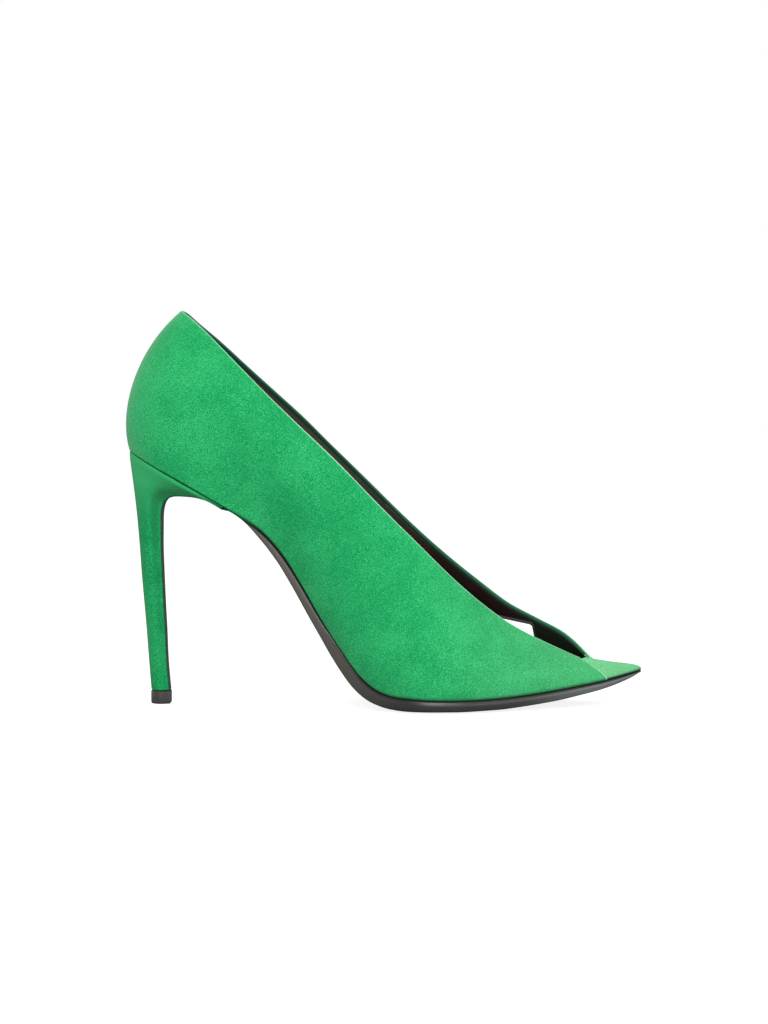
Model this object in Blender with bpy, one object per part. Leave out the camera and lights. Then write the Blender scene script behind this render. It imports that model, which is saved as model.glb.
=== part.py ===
"""Suede pump with a long V throat, a cut-out by the toes and a covered stiletto heel: right shoe.

The toe points along +X, the lateral (near) side is -Y, the medial (far) side is +Y and the
floor is Z = 0. Tables are in millimetres of the sample size, and graded() turns a sample point
into metres of the real size.
"""

import math

import bmesh
import bpy
import numpy as np

# Driving dimensions of the real shoe, in metres: overall length, width across the ball, height
# of the seat at the heel's back, and height of the topline over the sole at the instep
LENGTH = 0.2167
BALL_WIDTH = 0.0752
HEEL_HEIGHT = 0.1073
INSTEP_RISE = 0.0770

# The same dimensions of the sample last that the tables are drawn on, in millimetres
SAMPLE_LENGTH = 216.7
SAMPLE_BALL_WIDTH = 75.2
SAMPLE_HEEL_HEIGHT = 107.3
SAMPLE_INSTEP_RISE = 77.0

# Thicknesses and clearances, in sample millimetres
GAP = 0.3
WALL = 1.7
WALL_AT_TIP = 1.2
LAP = 0.8
INSOLE_THICKNESS = 2.4
INSOLE_THICKNESS_AT_TOE = 1.2
INSOLE_TOE_INSET = 1.0
FLAP = 0.75
TOP_PIECE_HEIGHT = 5.4
TOP_PIECE_FOOT = 0.6
TOP_PIECE_GROWTH = 0.15
TOP_PIECE_CHAMFER = 0.4
SEAT_INSET = 0.5
TREAD_INSET = 7.0
TREAD_INSET_SHARE = 0.3
EDGE_ROUNDING = 1.0
EDGE_ROUNDING_SHARE = 0.2
EDGE_FLAT_FROM = 0.35
SOLE_LEAN = 0.5

# Sections are counted from the heel's back; these are the ones where something starts or ends
LAP_ROW = 17
TIP_ROW = 20
LOOP_ROWS = 2 * TIP_ROW
INSOLE_THINS_FROM = 14.0
INSOLE_END = 17.6
SEAT_START = 0.4

# Mesh density, and how closely a place around the shoe is found
RIB_STEPS = 11
LAP_HALF_WIDTH = 0.02
HEEL_BACK_PLACES = (0.0, 0.35, 0.7, 1.0, 1.35, 1.7, 2.0, 2.5, 3.0)
CAP_PLACES = (17.5, 18.0, 18.5, 19.0, 19.4, 19.7, 20.0)
INSOLE_BACK_PLACES = (0.25, 0.6, 1.0, 1.5)
FINE_FROM = 15.0
HEEL_SIDE_STEPS = 10
HEEL_ROW_STEP = 0.5
CORNER_STEPS = 4
HALVINGS = 40


def named(columns, rows):
    """A table as arrays by the names of its columns."""
    return dict(zip(columns.split(), np.array(rows, dtype=float).T))


# Underside of the last, from the back of the seat to the toe: where it lies along the shoe, and
# the height of the feather line there
BOTTOM = named(
    "x z",
    (
        (-108.0, 107.8),
        (-96.0, 101.6),
        (-84.0, 95.3),
        (-72.0, 88.5),
        (-64.0, 83.8),
        (-57.0, 79.3),
        (-49.0, 73.0),
        (-41.0, 63.4),
        (-33.0, 50.3),
        (-25.0, 36.4),
        (-17.0, 24.4),
        (-10.0, 15.0),
        (-4.0, 9.8),
        (3.0, 6.9),
        (12.0, 5.9),
        (28.0, 5.3),
        (45.0, 5.5),
        (62.0, 6.7),
        (78.0, 8.7),
        (93.0, 11.1),
        (109.0, 14.9),
    ),
)

# Feather line in plan, a row for each section from the back of the heel to the tip of the toe
FEATHER = named(
    "near_x near_y far_x far_y",
    (
        (-107.1, 0.0, -107.1, 0.0),
        (-104.5, -9.6, -104.5, 9.6),
        (-97.2, -18.0, -97.2, 18.0),
        (-86.0, -22.8, -86.0, 22.6),
        (-72.0, -23.8, -72.0, 22.6),
        (-58.0, -22.2, -58.0, 19.6),
        (-46.0, -19.9, -46.0, 16.6),
        (-34.0, -19.0, -34.0, 15.2),
        (-22.0, -20.4, -22.0, 15.6),
        (-10.0, -25.0, -10.0, 19.6),
        (3.0, -31.4, 3.0, 26.4),
        (17.0, -36.4, 17.0, 33.2),
        (31.0, -35.4, 31.0, 36.9),
        (45.0, -30.8, 45.0, 33.8),
        (58.0, -25.0, 58.0, 27.6),
        (71.0, -18.8, 71.0, 20.6),
        (83.0, -13.0, 83.0, 14.6),
        (94.0, -7.9, 94.0, 9.6),
        (100.6, -4.6, 100.6, 6.4),
        (105.6, -1.8, 105.8, 4.0),
        (108.3, 1.4, 108.3, 1.4),
    ),
)

# Topline at the same sections, down to the lap over the toe cap
TOPLINE = named(
    "near_x near_y near_z far_x far_y far_z",
    (
        (-84.6, 0.2, 165.6, -84.6, 0.2, 165.6),
        (-83.2, -7.4, 164.9, -82.8, 7.8, 164.2),
        (-78.6, -13.4, 161.8, -77.8, 14.0, 159.3),
        (-70.2, -19.4, 154.3, -69.4, 19.6, 151.7),
        (-58.8, -23.8, 143.0, -58.2, 23.9, 141.0),
        (-47.0, -26.0, 131.2, -46.5, 26.2, 130.2),
        (-36.0, -27.2, 120.6, -35.5, 27.2, 120.1),
        (-25.5, -27.7, 110.7, -25.0, 27.8, 109.6),
        (-15.5, -27.8, 101.0, -15.0, 27.8, 99.9),
        (-5.0, -27.2, 90.1, -5.0, 27.2, 90.2),
        (5.5, -26.2, 79.4, 5.5, 26.1, 80.0),
        (16.5, -24.4, 68.4, 16.5, 24.4, 69.9),
        (28.0, -22.0, 56.8, 28.0, 21.7, 60.2),
        (40.0, -19.0, 45.9, 40.0, 18.0, 51.0),
        (51.5, -15.1, 37.0, 52.5, 13.1, 42.1),
        (62.5, -11.0, 30.4, 65.0, 8.0, 35.9),
        (73.0, -6.9, 25.0, 76.8, 3.3, 29.8),
        (82.4, -3.4, 20.4, 86.6, -0.2, 20.3),
    ),
)

# Handles of the ribs between feather line and topline: the low one leaves the feather line
# outward and upward, the high one leaves the topline forward, outward and downward
HANDLES = named(
    "low_out low_up high_forward high_out high_down",
    (
        (4.9, 17.4, -18.6, 0.0, 14.9),
        (4.8, 17.2, -15.3, 4.5, 14.8),
        (4.4, 17.0, -9.2, 8.5, 15.8),
        (3.8, 17.0, -3.5, 8.5, 19.0),
        (3.6, 18.0, -1.0, 7.0, 20.0),
        (5.0, 20.0, 0.0, 6.0, 22.0),
        (7.5, 21.0, 0.0, 5.0, 24.0),
        (9.0, 22.0, 0.0, 4.5, 26.0),
        (9.0, 22.0, 0.0, 4.5, 24.0),
        (7.5, 20.0, 0.0, 5.0, 22.0),
        (6.0, 17.0, 0.0, 6.0, 18.0),
        (4.6, 14.0, 0.0, 7.0, 14.0),
        (3.6, 11.0, 0.0, 7.0, 11.0),
        (3.0, 8.6, 0.0, 6.4, 8.0),
        (2.4, 6.6, 0.5, 5.4, 5.6),
        (1.9, 5.0, 1.0, 4.4, 4.2),
        (1.4, 3.6, 2.0, 3.0, 3.2),
        (1.0, 2.6, 3.0, 1.8, 2.2),
        (0.6, 2.6, 8.5, 1.6, 2.0),
        (0.4, 3.0, 13.0, 0.7, 2.9),
        (0.2, 3.3, 15.6, 0.0, 3.2),
    ),
)

# Corners of the cut-out on the medial side, seen from the side, the radius they are rounded to,
# and the depths between which the side is cut
CUT_OUT = ((62.5, 33.0), (66.0, 14.6), (27.0, 14.2), (29.0, 38.6))
CUT_OUT_RADIUS = 2.0
CUT_OUT_DEPTH = (5.0, 60.0)

# Outsole ahead of the heel: place, height of its tread, how far its edges lie above the tread,
# and how far they stand past the feather line
SOLE = named(
    "x tread_z edge_lift overhang",
    (
        (-64.6, 82.1, 0.0, -2.4),
        (-62.0, 80.9, 0.0, -2.4),
        (-56.0, 76.4, 0.0, -2.2),
        (-51.4, 71.2, 0.0, -2.0),
        (-47.3, 65.9, 0.1, -1.8),
        (-43.1, 59.9, 0.1, -1.6),
        (-39.0, 53.0, 0.1, -1.5),
        (-34.8, 45.5, 0.1, -1.4),
        (-30.6, 37.9, 0.1, -1.2),
        (-26.4, 30.5, 0.2, -1.1),
        (-22.2, 23.2, 0.2, -1.0),
        (-17.9, 16.4, 0.3, -0.8),
        (-13.6, 10.5, 0.4, -0.6),
        (-9.3, 6.2, 0.5, -0.4),
        (-5.1, 3.3, 0.7, -0.1),
        (0.0, 1.3, 0.9, 0.1),
        (6.0, 0.3, 1.0, 0.3),
        (12.0, 0.0, 1.0, 0.4),
        (22.0, 0.0, 0.8, 0.5),
        (32.0, 0.0, 0.7, 0.5),
        (41.0, 0.3, 0.6, 0.5),
        (50.0, 0.8, 0.4, 0.5),
        (58.0, 1.6, 0.3, 0.5),
        (66.0, 2.6, 0.2, 0.5),
        (74.0, 3.8, 0.1, 0.5),
        (82.0, 5.3, 0.1, 0.4),
        (90.0, 7.1, 0.0, 0.4),
        (97.0, 9.1, 0.0, 0.3),
        (103.0, 11.4, 0.0, 0.3),
        (106.6, 13.2, 0.0, 0.3),
        (108.2, 14.1, 0.0, 0.3),
    ),
)

# Heel: the ends of each section seen from the side, its greatest half width, the half width of
# its breast, and how much of the seat's own outline it still has
HEEL = named(
    "back_x back_z front_x front_z half_width breast seat",
    (
        (-106.7, 106.75, -66.0, 84.7, 23.0, 20.8, 1.00),
        (-106.7, 105.6, -66.5, 84.2, 22.8, 20.4, 0.98),
        (-106.6, 103.6, -71.0, 86.7, 21.9, 18.0, 0.90),
        (-106.3, 101.2, -76.5, 88.4, 20.2, 15.2, 0.70),
        (-106.0, 98.4, -82.5, 89.0, 17.9, 12.2, 0.45),
        (-105.6, 94.8, -88.6, 88.7, 15.4, 9.2, 0.20),
        (-105.1, 90.4, -92.4, 86.2, 13.0, 6.8, 0.05),
        (-104.5, 85.0, -94.0, 81.4, 11.2, 5.7, 0.00),
        (-103.7, 77.0, -94.2, 74.0, 9.5, 5.0, 0.00),
        (-102.9, 67.0, -94.2, 65.0, 8.2, 4.5, 0.00),
        (-102.1, 55.0, -93.8, 54.0, 7.2, 4.2, 0.00),
        (-101.1, 43.0, -93.3, 42.5, 6.4, 3.9, 0.00),
        (-100.1, 31.0, -92.7, 30.8, 5.7, 3.7, 0.00),
        (-99.2, 18.5, -92.2, 18.5, 5.1, 3.5, 0.00),
        (-98.2, 5.7, -91.1, 5.7, 4.6, 3.4, 0.00),
    ),
)

# The heel is widest at this share of its depth; the seat above it has this half width
WIDEST_AT = 0.55
SEAT_HALF_WIDTH = 22.6


def spline(values, at):
    """Smooth curve through rows of values, read at fractional row numbers; its ends are open."""
    values = np.asarray(values, dtype=float)
    slopes = np.gradient(values, axis=0, edge_order=2)
    at = np.clip(np.asarray(at, dtype=float), 0.0, len(values) - 1.0)
    row = np.minimum(at.astype(int), len(values) - 2)
    f = (at - row).reshape(at.shape + (1,) * (values.ndim - 1))
    start, end = values[row], values[row + 1]
    leave, arrive = slopes[row], slopes[row + 1]
    return (
        start * (1 + 2 * f) * (1 - f) ** 2
        + leave * f * (1 - f) ** 2
        + end * f**2 * (3 - 2 * f)
        - arrive * f**2 * (1 - f)
    )


def curve_at(xs, values, x):
    """Smooth curve through values given at uneven places xs, read at x."""
    slopes = np.gradient(values, xs)
    x = np.clip(np.asarray(x, dtype=float), xs[0], xs[-1])
    row = np.clip(np.searchsorted(xs, x) - 1, 0, len(xs) - 2)
    span = xs[row + 1] - xs[row]
    f = (x - xs[row]) / span
    return (
        values[row] * (1 + 2 * f) * (1 - f) ** 2
        + slopes[row] * span * f * (1 - f) ** 2
        + values[row + 1] * f**2 * (3 - 2 * f)
        - slopes[row + 1] * span * f**2 * (1 - f)
    )


NEAR_FEET = np.stack([FEATHER["near_x"], FEATHER["near_y"]], axis=1)
FAR_FEET = np.stack([FEATHER["far_x"], FEATHER["far_y"]], axis=1)
NEAR_TOPS = np.stack([TOPLINE["near_x"], TOPLINE["near_y"], TOPLINE["near_z"]], axis=1)
FAR_TOPS = np.stack([TOPLINE["far_x"], TOPLINE["far_y"], TOPLINE["far_z"]], axis=1)
RIB_HANDLES = np.stack(list(HANDLES.values()), axis=1)
HEEL_ROWS = np.append([0.0, 1.0], np.arange(2.0, len(HEEL["back_x"]) - 0.75, HEEL_ROW_STEP))


def bottom_z(x):
    """Height of the last's underside at x."""
    return curve_at(BOTTOM["x"], BOTTOM["z"], x)


def around(near, far):
    """Rows of both sides as one closed run: near side forward, far side back, with spare rows."""
    loop = np.concatenate([near, far[-2:0:-1]])
    return np.concatenate([loop[-3:], loop, loop[:3]])


def on_loop(near, far, at):
    """A per-section value read around the shoe, at = 0 at the heel's back and TIP_ROW at the toe."""
    return spline(around(near, far), np.mod(at, LOOP_ROWS) + 3)


def feather(at):
    """Points of the feather line and the directions pointing out from the shoe there."""
    plan = on_loop(NEAR_FEET, FAR_FEET, at)
    step = 0.01
    along = on_loop(NEAR_FEET, FAR_FEET, at + step) - on_loop(NEAR_FEET, FAR_FEET, at - step)
    along /= np.linalg.norm(along, axis=1)[:, None]
    out = np.stack([along[:, 1], -along[:, 0], np.zeros(len(at))], axis=1)
    points = np.column_stack([plan, bottom_z(plan[:, 0])])
    return points, out


def topline(at):
    """Points of the top edge: the topline of both wings, and the throat of the toe cap between."""
    run = np.concatenate([FAR_TOPS[:0:-1], NEAR_TOPS])
    back = len(FAR_TOPS) - 1
    at = np.mod(at, LOOP_ROWS)
    signed = np.where(at > TIP_ROW, at - LOOP_ROWS, at)
    on_wings = spline(run, signed + back)
    share = np.clip((at - LAP_ROW) / (LOOP_ROWS - 2 * LAP_ROW), 0.0, 1.0)[:, None]
    on_throat = NEAR_TOPS[-1] * (1 - share) + FAR_TOPS[-1] * share
    return np.where(np.abs(signed)[:, None] <= LAP_ROW, on_wings, on_throat)


def ribs(at):
    """The last's surface between feather line and top edge: one column of points for each place."""
    foot, out = feather(at)
    top = topline(at)
    low_out, low_up, forward, sideways, down = on_loop(RIB_HANDLES, RIB_HANDLES, at).T
    side = np.where(np.mod(at, LOOP_ROWS) <= TIP_ROW, -1.0, 1.0)
    low = foot + out * low_out[:, None]
    low[:, 2] += low_up
    high = top + np.stack([forward, side * sideways, -down], axis=1)
    t = np.linspace(0.0, 1.0, RIB_STEPS + 1)[None, :, None]
    return (
        foot[:, None] * (1 - t) ** 3
        + 3 * low[:, None] * t * (1 - t) ** 2
        + 3 * high[:, None] * t**2 * (1 - t)
        + top[:, None] * t**3
    )


def surface_normals(grid):
    """Outward directions of a surface that runs around the shoe in rows of ribs."""
    around_shoe = np.roll(grid, -1, axis=0) - np.roll(grid, 1, axis=0)
    up = np.gradient(grid, axis=1)
    normals = np.cross(around_shoe, up)
    return normals / np.linalg.norm(normals, axis=2)[:, :, None]


def graded(points):
    """Sample millimetres to metres of the real shoe."""
    points = np.asarray(points, dtype=float)
    heel_grade = HEEL_HEIGHT / SAMPLE_HEEL_HEIGHT
    instep_grade = INSTEP_RISE / SAMPLE_INSTEP_RISE
    x, y, z = np.moveaxis(points, -1, 0)
    below = np.minimum(z, bottom_z(x))
    return np.stack(
        [
            x * LENGTH / SAMPLE_LENGTH,
            y * BALL_WIDTH / SAMPLE_BALL_WIDTH,
            below * heel_grade + (z - below) * instep_grade,
        ],
        axis=-1,
    )


def material(name, colour, roughness):
    """A plain surface finish for one part."""
    finish = bpy.data.materials.new(name)
    finish.use_nodes = True
    shader = finish.node_tree.nodes["Principled BSDF"]
    shader.inputs["Base Color"].default_value = (*colour, 1.0)
    shader.inputs["Roughness"].default_value = roughness
    return finish


def add_object(name, bm, collection, finish):
    """An object from a closed mesh, shaded smooth except at its real edges."""
    bmesh.ops.recalc_face_normals(bm, faces=bm.faces)
    mesh = bpy.data.meshes.new(name)
    bm.to_mesh(mesh)
    bm.free()
    mesh.materials.append(finish)
    mesh.shade_smooth()
    mesh.set_sharp_from_angle(angle=math.radians(40))
    obj = bpy.data.objects.new(name, mesh)
    collection.objects.link(obj)
    return obj


def add_loft(bm, rings, cap=True):
    """Faces between rings of equal counts; caps close off the first and the last ring."""
    rows = [[bm.verts.new(point) for point in ring] for ring in rings]
    count = len(rows[0])
    for first, second in zip(rows, rows[1:]):
        for i in range(count):
            j = (i + 1) % count
            bm.faces.new((first[i], first[j], second[j], second[i]))
    if cap:
        bm.faces.new(rows[0][::-1])
        bm.faces.new(rows[-1])


def upper_places():
    """Places of the ribs around the shoe, closer at the heel's back, at the toe and at the laps."""
    near = [*HEEL_BACK_PLACES, *np.arange(HEEL_BACK_PLACES[-1] + 0.5, FINE_FROM - 0.1, 0.5)]
    near += list(np.arange(FINE_FROM, LAP_ROW - 0.1, 0.25))
    near += [LAP_ROW - LAP_HALF_WIDTH, LAP_ROW + LAP_HALF_WIDTH, *CAP_PLACES]
    far = [LOOP_ROWS - place for place in near[-2:0:-1]]
    return np.array(near + far)


def make_upper(collection, finish, cutters):
    """One hollow shell: both wings stand proud of the toe cap along a lap, with a cut-out."""
    at = upper_places()
    last = ribs(at)
    normals = surface_normals(last)
    row = np.where(at > TIP_ROW, LOOP_ROWS - at, at)
    share = np.clip((row - LAP_ROW) / (TIP_ROW - LAP_ROW), 0.0, 1.0)
    under_lap = np.where(row < LAP_ROW, 0.0, LAP * (1 - share))[:, None, None]
    depth = (WALL + LAP + (WALL_AT_TIP - WALL - LAP) * share)[:, None, None]
    outer = last - normals * under_lap
    inner = last - normals * depth
    foot, out = feather(at)
    inner[:, 0] = foot - out * depth[:, 0]
    inner[:, 0, 2] = bottom_z(inner[:, 0, 0])
    outer[:, 0] = foot - out * under_lap[:, 0]
    outer[:, 0, 2] = bottom_z(outer[:, 0, 0])
    bm = bmesh.new()
    section = np.concatenate([outer, inner[:, ::-1]], axis=1)
    rings = list(graded(section))
    add_loft(bm, rings + rings[:1], cap=False)
    bmesh.ops.remove_doubles(bm, verts=bm.verts, dist=0.000001)
    upper = add_object("upper", bm, collection, finish)
    cutter = make_cut_out(cutters)
    cut = upper.modifiers.new("cut_out", "BOOLEAN")
    cut.operation = "DIFFERENCE"
    cut.solver = "EXACT"
    cut.object = cutter
    return upper


def rounded_corners(corners, radius):
    """A closed outline with each corner turned into an arc."""
    outline = []
    count = len(corners)
    for i in range(count):
        corner = np.array(corners[i])
        before = np.array(corners[i - 1]) - corner
        after = np.array(corners[(i + 1) % count]) - corner
        before /= np.linalg.norm(before)
        after /= np.linalg.norm(after)
        half = math.acos(float(before @ after)) / 2
        reach = radius / math.tan(half)
        middle = before + after
        centre = corner + middle / np.linalg.norm(middle) * radius / math.sin(half)
        first = corner + before * reach - centre
        second = corner + after * reach - centre
        sweep = math.acos(float(first @ second) / radius**2)
        for step in range(CORNER_STEPS + 1):
            share = step / CORNER_STEPS
            mix = math.sin((1 - share) * sweep) * first + math.sin(share * sweep) * second
            outline.append(centre + mix / math.sin(sweep))
    return outline


def make_cut_out(cutters):
    """The prism that opens the medial side beside the toes."""
    outline = rounded_corners(CUT_OUT, CUT_OUT_RADIUS)
    rings = []
    for depth in CUT_OUT_DEPTH:
        rings.append(graded([(x, depth, z) for x, z in outline]))
    bm = bmesh.new()
    add_loft(bm, rings)
    bmesh.ops.recalc_face_normals(bm, faces=bm.faces)
    mesh = bpy.data.meshes.new("cut_out_cutter")
    bm.to_mesh(mesh)
    bm.free()
    cutter = bpy.data.objects.new("cut_out_cutter", mesh)
    cutter.hide_render = True
    cutter.display_type = "WIRE"
    cutters.objects.link(cutter)
    return cutter


def plan_pairs(places, inset):
    """Facing points of the feather line, moved inward; a pair for each place from heel to toe."""
    near, near_out = feather(places)
    far, far_out = feather(LOOP_ROWS - places)
    return near - near_out * inset, far - far_out * inset


def make_insole(collection, finish):
    """The footbed board inside the upper, from the back of the heel to the toe."""
    places = [*INSOLE_BACK_PLACES, *np.arange(2.0, INSOLE_END, 0.5), INSOLE_END]
    places = np.array(places)
    thinning = (places - INSOLE_THINS_FROM) / (INSOLE_END - INSOLE_THINS_FROM)
    thinning = np.clip(thinning, 0.0, 1.0)
    inset = WALL + LAP + GAP + INSOLE_TOE_INSET * thinning
    near, far = plan_pairs(places, inset[:, None])
    thicknesses = INSOLE_THICKNESS + (INSOLE_THICKNESS_AT_TOE - INSOLE_THICKNESS) * thinning
    rings = []
    for thickness, a, b in zip(thicknesses, near, far):
        ring = [a + (b - a) * share for share in (0.0, 0.5, 1.0)]
        under = [np.array([p[0], p[1], bottom_z(p[0])]) for p in ring]
        over = [p + np.array([0.0, 0.0, thickness]) for p in under]
        rings.append(graded(under + over[::-1]))
    bm = bmesh.new()
    add_loft(bm, rings)
    return add_object("insole", bm, collection, finish)


def sole_ring(top_near, top_far, low_near, low_far, lift):
    """One section of the sole: flat top, upright edges with a rounded lower corner, and a flat
    tread whose borders rise to the edges."""
    across = low_far - low_near
    width = np.linalg.norm(across)
    inward = across / width
    rounding = inward * min(EDGE_ROUNDING, EDGE_ROUNDING_SHARE * width)
    tread = inward * min(TREAD_INSET, TREAD_INSET_SHARE * width)
    raised = np.array([0.0, 0.0, lift])
    edge_near = low_near + raised
    edge_far = low_far + raised
    return [
        top_near,
        (top_near + top_far) / 2,
        top_far,
        edge_far + (top_far - edge_far) * EDGE_FLAT_FROM,
        edge_far - rounding,
        low_far - tread,
        (low_near + low_far) / 2,
        low_near + tread,
        edge_near + rounding,
        edge_near + (top_near - edge_near) * EDGE_FLAT_FROM,
    ]


def place_at_x(x, near_side):
    """Where around the shoe the feather line reaches x, found by halving."""
    low = np.full(len(x), SEAT_START)
    high = np.full(len(x), TIP_ROW - LAP_HALF_WIDTH)
    for _ in range(HALVINGS):
        middle = (low + high) / 2
        at = middle if near_side else LOOP_ROWS - middle
        ahead = on_loop(NEAR_FEET, FAR_FEET, at)[:, 0] > x
        high = np.where(ahead, middle, high)
        low = np.where(ahead, low, middle)
    middle = (low + high) / 2
    return middle if near_side else LOOP_ROWS - middle


def sole_edge(x, tread_z, overhang, near_side):
    """Top and lower edge points of the sole at the places x, square to the last's underside."""
    foot, out = feather(place_at_x(x, near_side))
    edge = foot + out * overhang[:, None]
    slope = bottom_z(x + 0.5) - bottom_z(x - 0.5)
    thickness = bottom_z(x) - GAP - tread_z
    top_x = x + SOLE_LEAN * slope * thickness / (1.0 + slope**2)
    top = np.stack([top_x, edge[:, 1], bottom_z(top_x) - GAP], axis=1)
    low = np.stack([x, edge[:, 1], tread_z], axis=1)
    return top, low


def make_outsole(collection, finish):
    """Leather sole: forefoot, shank, and the thin flap that runs on down the breast of the heel."""
    rows = np.arange(0.0, len(SOLE["x"]) - 0.75, 0.5)
    x, tread_z, lift, overhang = spline(np.stack(list(SOLE.values()), axis=1), rows).T
    tread_z = np.maximum(tread_z, 0.0)
    near = sole_edge(x, tread_z, overhang, True)
    far = sole_edge(x, tread_z, overhang, False)
    rings = flap_rings()
    for i in range(len(x)):
        rings.append(sole_ring(near[0][i], far[0][i], near[1][i], far[1][i], lift[i]))
    bm = bmesh.new()
    add_loft(bm, [graded(ring) for ring in rings])
    return add_object("outsole", bm, collection, finish)


def heel_values(rows):
    """The heel's named measures at fractional row numbers."""
    return dict(zip(HEEL, spline(np.stack(list(HEEL.values()), axis=1), rows).T))


def flap_rings():
    """Sections of the flap from the top piece up to the front of the heel's wing."""
    rows = HEEL_ROWS[:0:-1]
    here = heel_values(rows)
    above = heel_values(np.maximum(rows - HEEL_ROW_STEP, 1.0))
    below = heel_values(np.minimum(rows + HEEL_ROW_STEP, rows[0]))
    along = np.stack(
        [above["front_x"] - below["front_x"], above["front_z"] - below["front_z"]], axis=1
    )
    along /= np.linalg.norm(along, axis=1)[:, None]
    away = np.stack([along[:, 1], -along[:, 0]], axis=1)
    front = np.stack([here["front_x"], here["front_z"]], axis=1)
    top = front + away * GAP
    low = front + away * (GAP + FLAP)
    rings = []
    for i, half in enumerate(here["breast"]):
        top_near = np.array([top[i, 0], -half, top[i, 1]])
        top_far = np.array([top[i, 0], half, top[i, 1]])
        low_near = np.array([low[i, 0], -half, low[i, 1]])
        low_far = np.array([low[i, 0], half, low[i, 1]])
        rings.append(sole_ring(top_near, top_far, low_near, low_far, 0.0))
    return rings


def seat_half_widths(x, near_side, most):
    """Half widths of the seat at the places x, a little inside the feather line."""
    rear = FEATHER["near_x"][0]
    edge = feather(place_at_x(np.maximum(x, rear + SEAT_INSET), near_side))[0][:, 1]
    halves = (np.abs(edge) - SEAT_INSET) * min(1.0, most / SEAT_HALF_WIDTH)
    halves[0] = 0.0
    return halves


def heel_ring(row):
    """A section of the heel: round at the back, with a flat breast at the front."""
    values = {name: value[0] for name, value in heel_values(np.array([row])).items()}
    back = np.array([values["back_x"], values["back_z"]])
    front = np.array([values["front_x"], values["front_z"]])
    angles = np.arange(HEEL_SIDE_STEPS + 1) / HEEL_SIDE_STEPS * math.pi / 2
    forward = 1 - np.cos(angles)
    spine = back + (front - back) * forward[:, None]
    to_widest = 1 - np.minimum(forward / WIDEST_AT, 1.0)
    to_breast = np.clip((forward - WIDEST_AT) / (1 - WIDEST_AT), 0.0, 1.0)
    to_breast = to_breast**2 * (3 - 2 * to_breast)
    stem = values["half_width"] * np.sqrt(1 - to_widest**2) * (1 - to_breast)
    stem += values["breast"] * to_breast
    sides = []
    for near_side in (True, False):
        seat = seat_half_widths(spine[:, 0], near_side, values["half_width"])
        sides.append(stem + (seat - stem) * values["seat"])
    ring = [(x, -half, z) for (x, z), half in zip(spine, sides[0])]
    ring.append((front[0], 0.0, front[1]))
    ring += [(x, half, z) for (x, z), half in zip(spine, sides[1])][:0:-1]
    return ring


def make_heel(collection, finish):
    """The covered stiletto heel with its thin wing under the shank."""
    bm = bmesh.new()
    add_loft(bm, [graded(heel_ring(row)) for row in HEEL_ROWS])
    return add_object("heel", bm, collection, finish)


def make_top_piece(collection, finish):
    """The hard block under the heel, which carries the back of the shoe."""
    outline = np.array(heel_ring(HEEL_ROWS[-1]))[:, :2]
    breast = outline[:, 0] > HEEL["front_x"][-1] - GAP
    outline[breast, 0] += GAP + FLAP
    away = outline - outline.mean(axis=0)
    away /= np.linalg.norm(away, axis=1)[:, None]
    rings = []
    for z, growth in (
        (TOP_PIECE_HEIGHT, TOP_PIECE_GROWTH),
        (TOP_PIECE_FOOT, TOP_PIECE_GROWTH),
        (0.0, TOP_PIECE_GROWTH - TOP_PIECE_CHAMFER),
    ):
        ring = outline + away * growth
        rings.append(graded(np.column_stack([ring, np.full(len(ring), z)])))
    bm = bmesh.new()
    add_loft(bm, rings)
    return add_object("top_piece", bm, collection, finish)


def clear_scene():
    for obj in list(bpy.data.objects):
        bpy.data.objects.remove(obj, do_unlink=True)


def new_collection(name):
    collection = bpy.data.collections.new(name)
    bpy.context.scene.collection.children.link(collection)
    return collection


def main():
    clear_scene()
    shoe = new_collection("suede_pump")
    cutters = new_collection("cutters")
    suede = material("green_suede", (0.03, 0.42, 0.12), 0.95)
    heel_suede = material("heel_suede", (0.025, 0.36, 0.10), 0.95)
    lining = material("insole_leather", (0.08, 0.03, 0.02), 0.6)
    leather = material("sole_leather", (0.04, 0.04, 0.04), 0.5)
    rubber = material("top_piece_rubber", (0.05, 0.05, 0.05), 0.7)
    make_upper(shoe, suede, cutters)
    make_insole(shoe, lining)
    make_outsole(shoe, leather)
    make_heel(shoe, heel_suede)
    make_top_piece(shoe, rubber)
    cutters.hide_render = True


main()
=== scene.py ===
"""Looks of the suede pump: suede over both wings, the toe cap and the heel, a dark leather lining
and sock, a black leather sole and a rubber top piece, on a pale floor in soft studio light.

All shapes come from the same last as the solids: places count the sections from the heel's back
(0) along the near side to the toe's tip (20) and back along the far side (40). Sizes are in
millimetres until a mesh is made.
"""

import math

import bmesh
import bpy
import numpy as np
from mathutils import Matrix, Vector
from mathutils.bvhtree import BVHTree


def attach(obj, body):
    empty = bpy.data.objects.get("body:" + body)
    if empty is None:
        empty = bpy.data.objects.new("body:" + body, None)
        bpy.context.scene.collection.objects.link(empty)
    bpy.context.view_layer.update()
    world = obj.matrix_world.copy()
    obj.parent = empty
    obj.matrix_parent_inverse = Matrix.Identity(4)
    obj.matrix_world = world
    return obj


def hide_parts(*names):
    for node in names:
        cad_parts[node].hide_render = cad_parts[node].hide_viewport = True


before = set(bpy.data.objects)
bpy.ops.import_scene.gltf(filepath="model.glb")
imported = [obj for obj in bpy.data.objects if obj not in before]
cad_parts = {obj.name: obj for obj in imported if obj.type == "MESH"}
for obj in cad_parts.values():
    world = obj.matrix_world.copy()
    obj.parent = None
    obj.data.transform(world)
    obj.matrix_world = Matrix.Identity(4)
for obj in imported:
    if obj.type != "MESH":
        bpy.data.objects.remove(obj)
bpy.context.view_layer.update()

MM = 0.001

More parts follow.
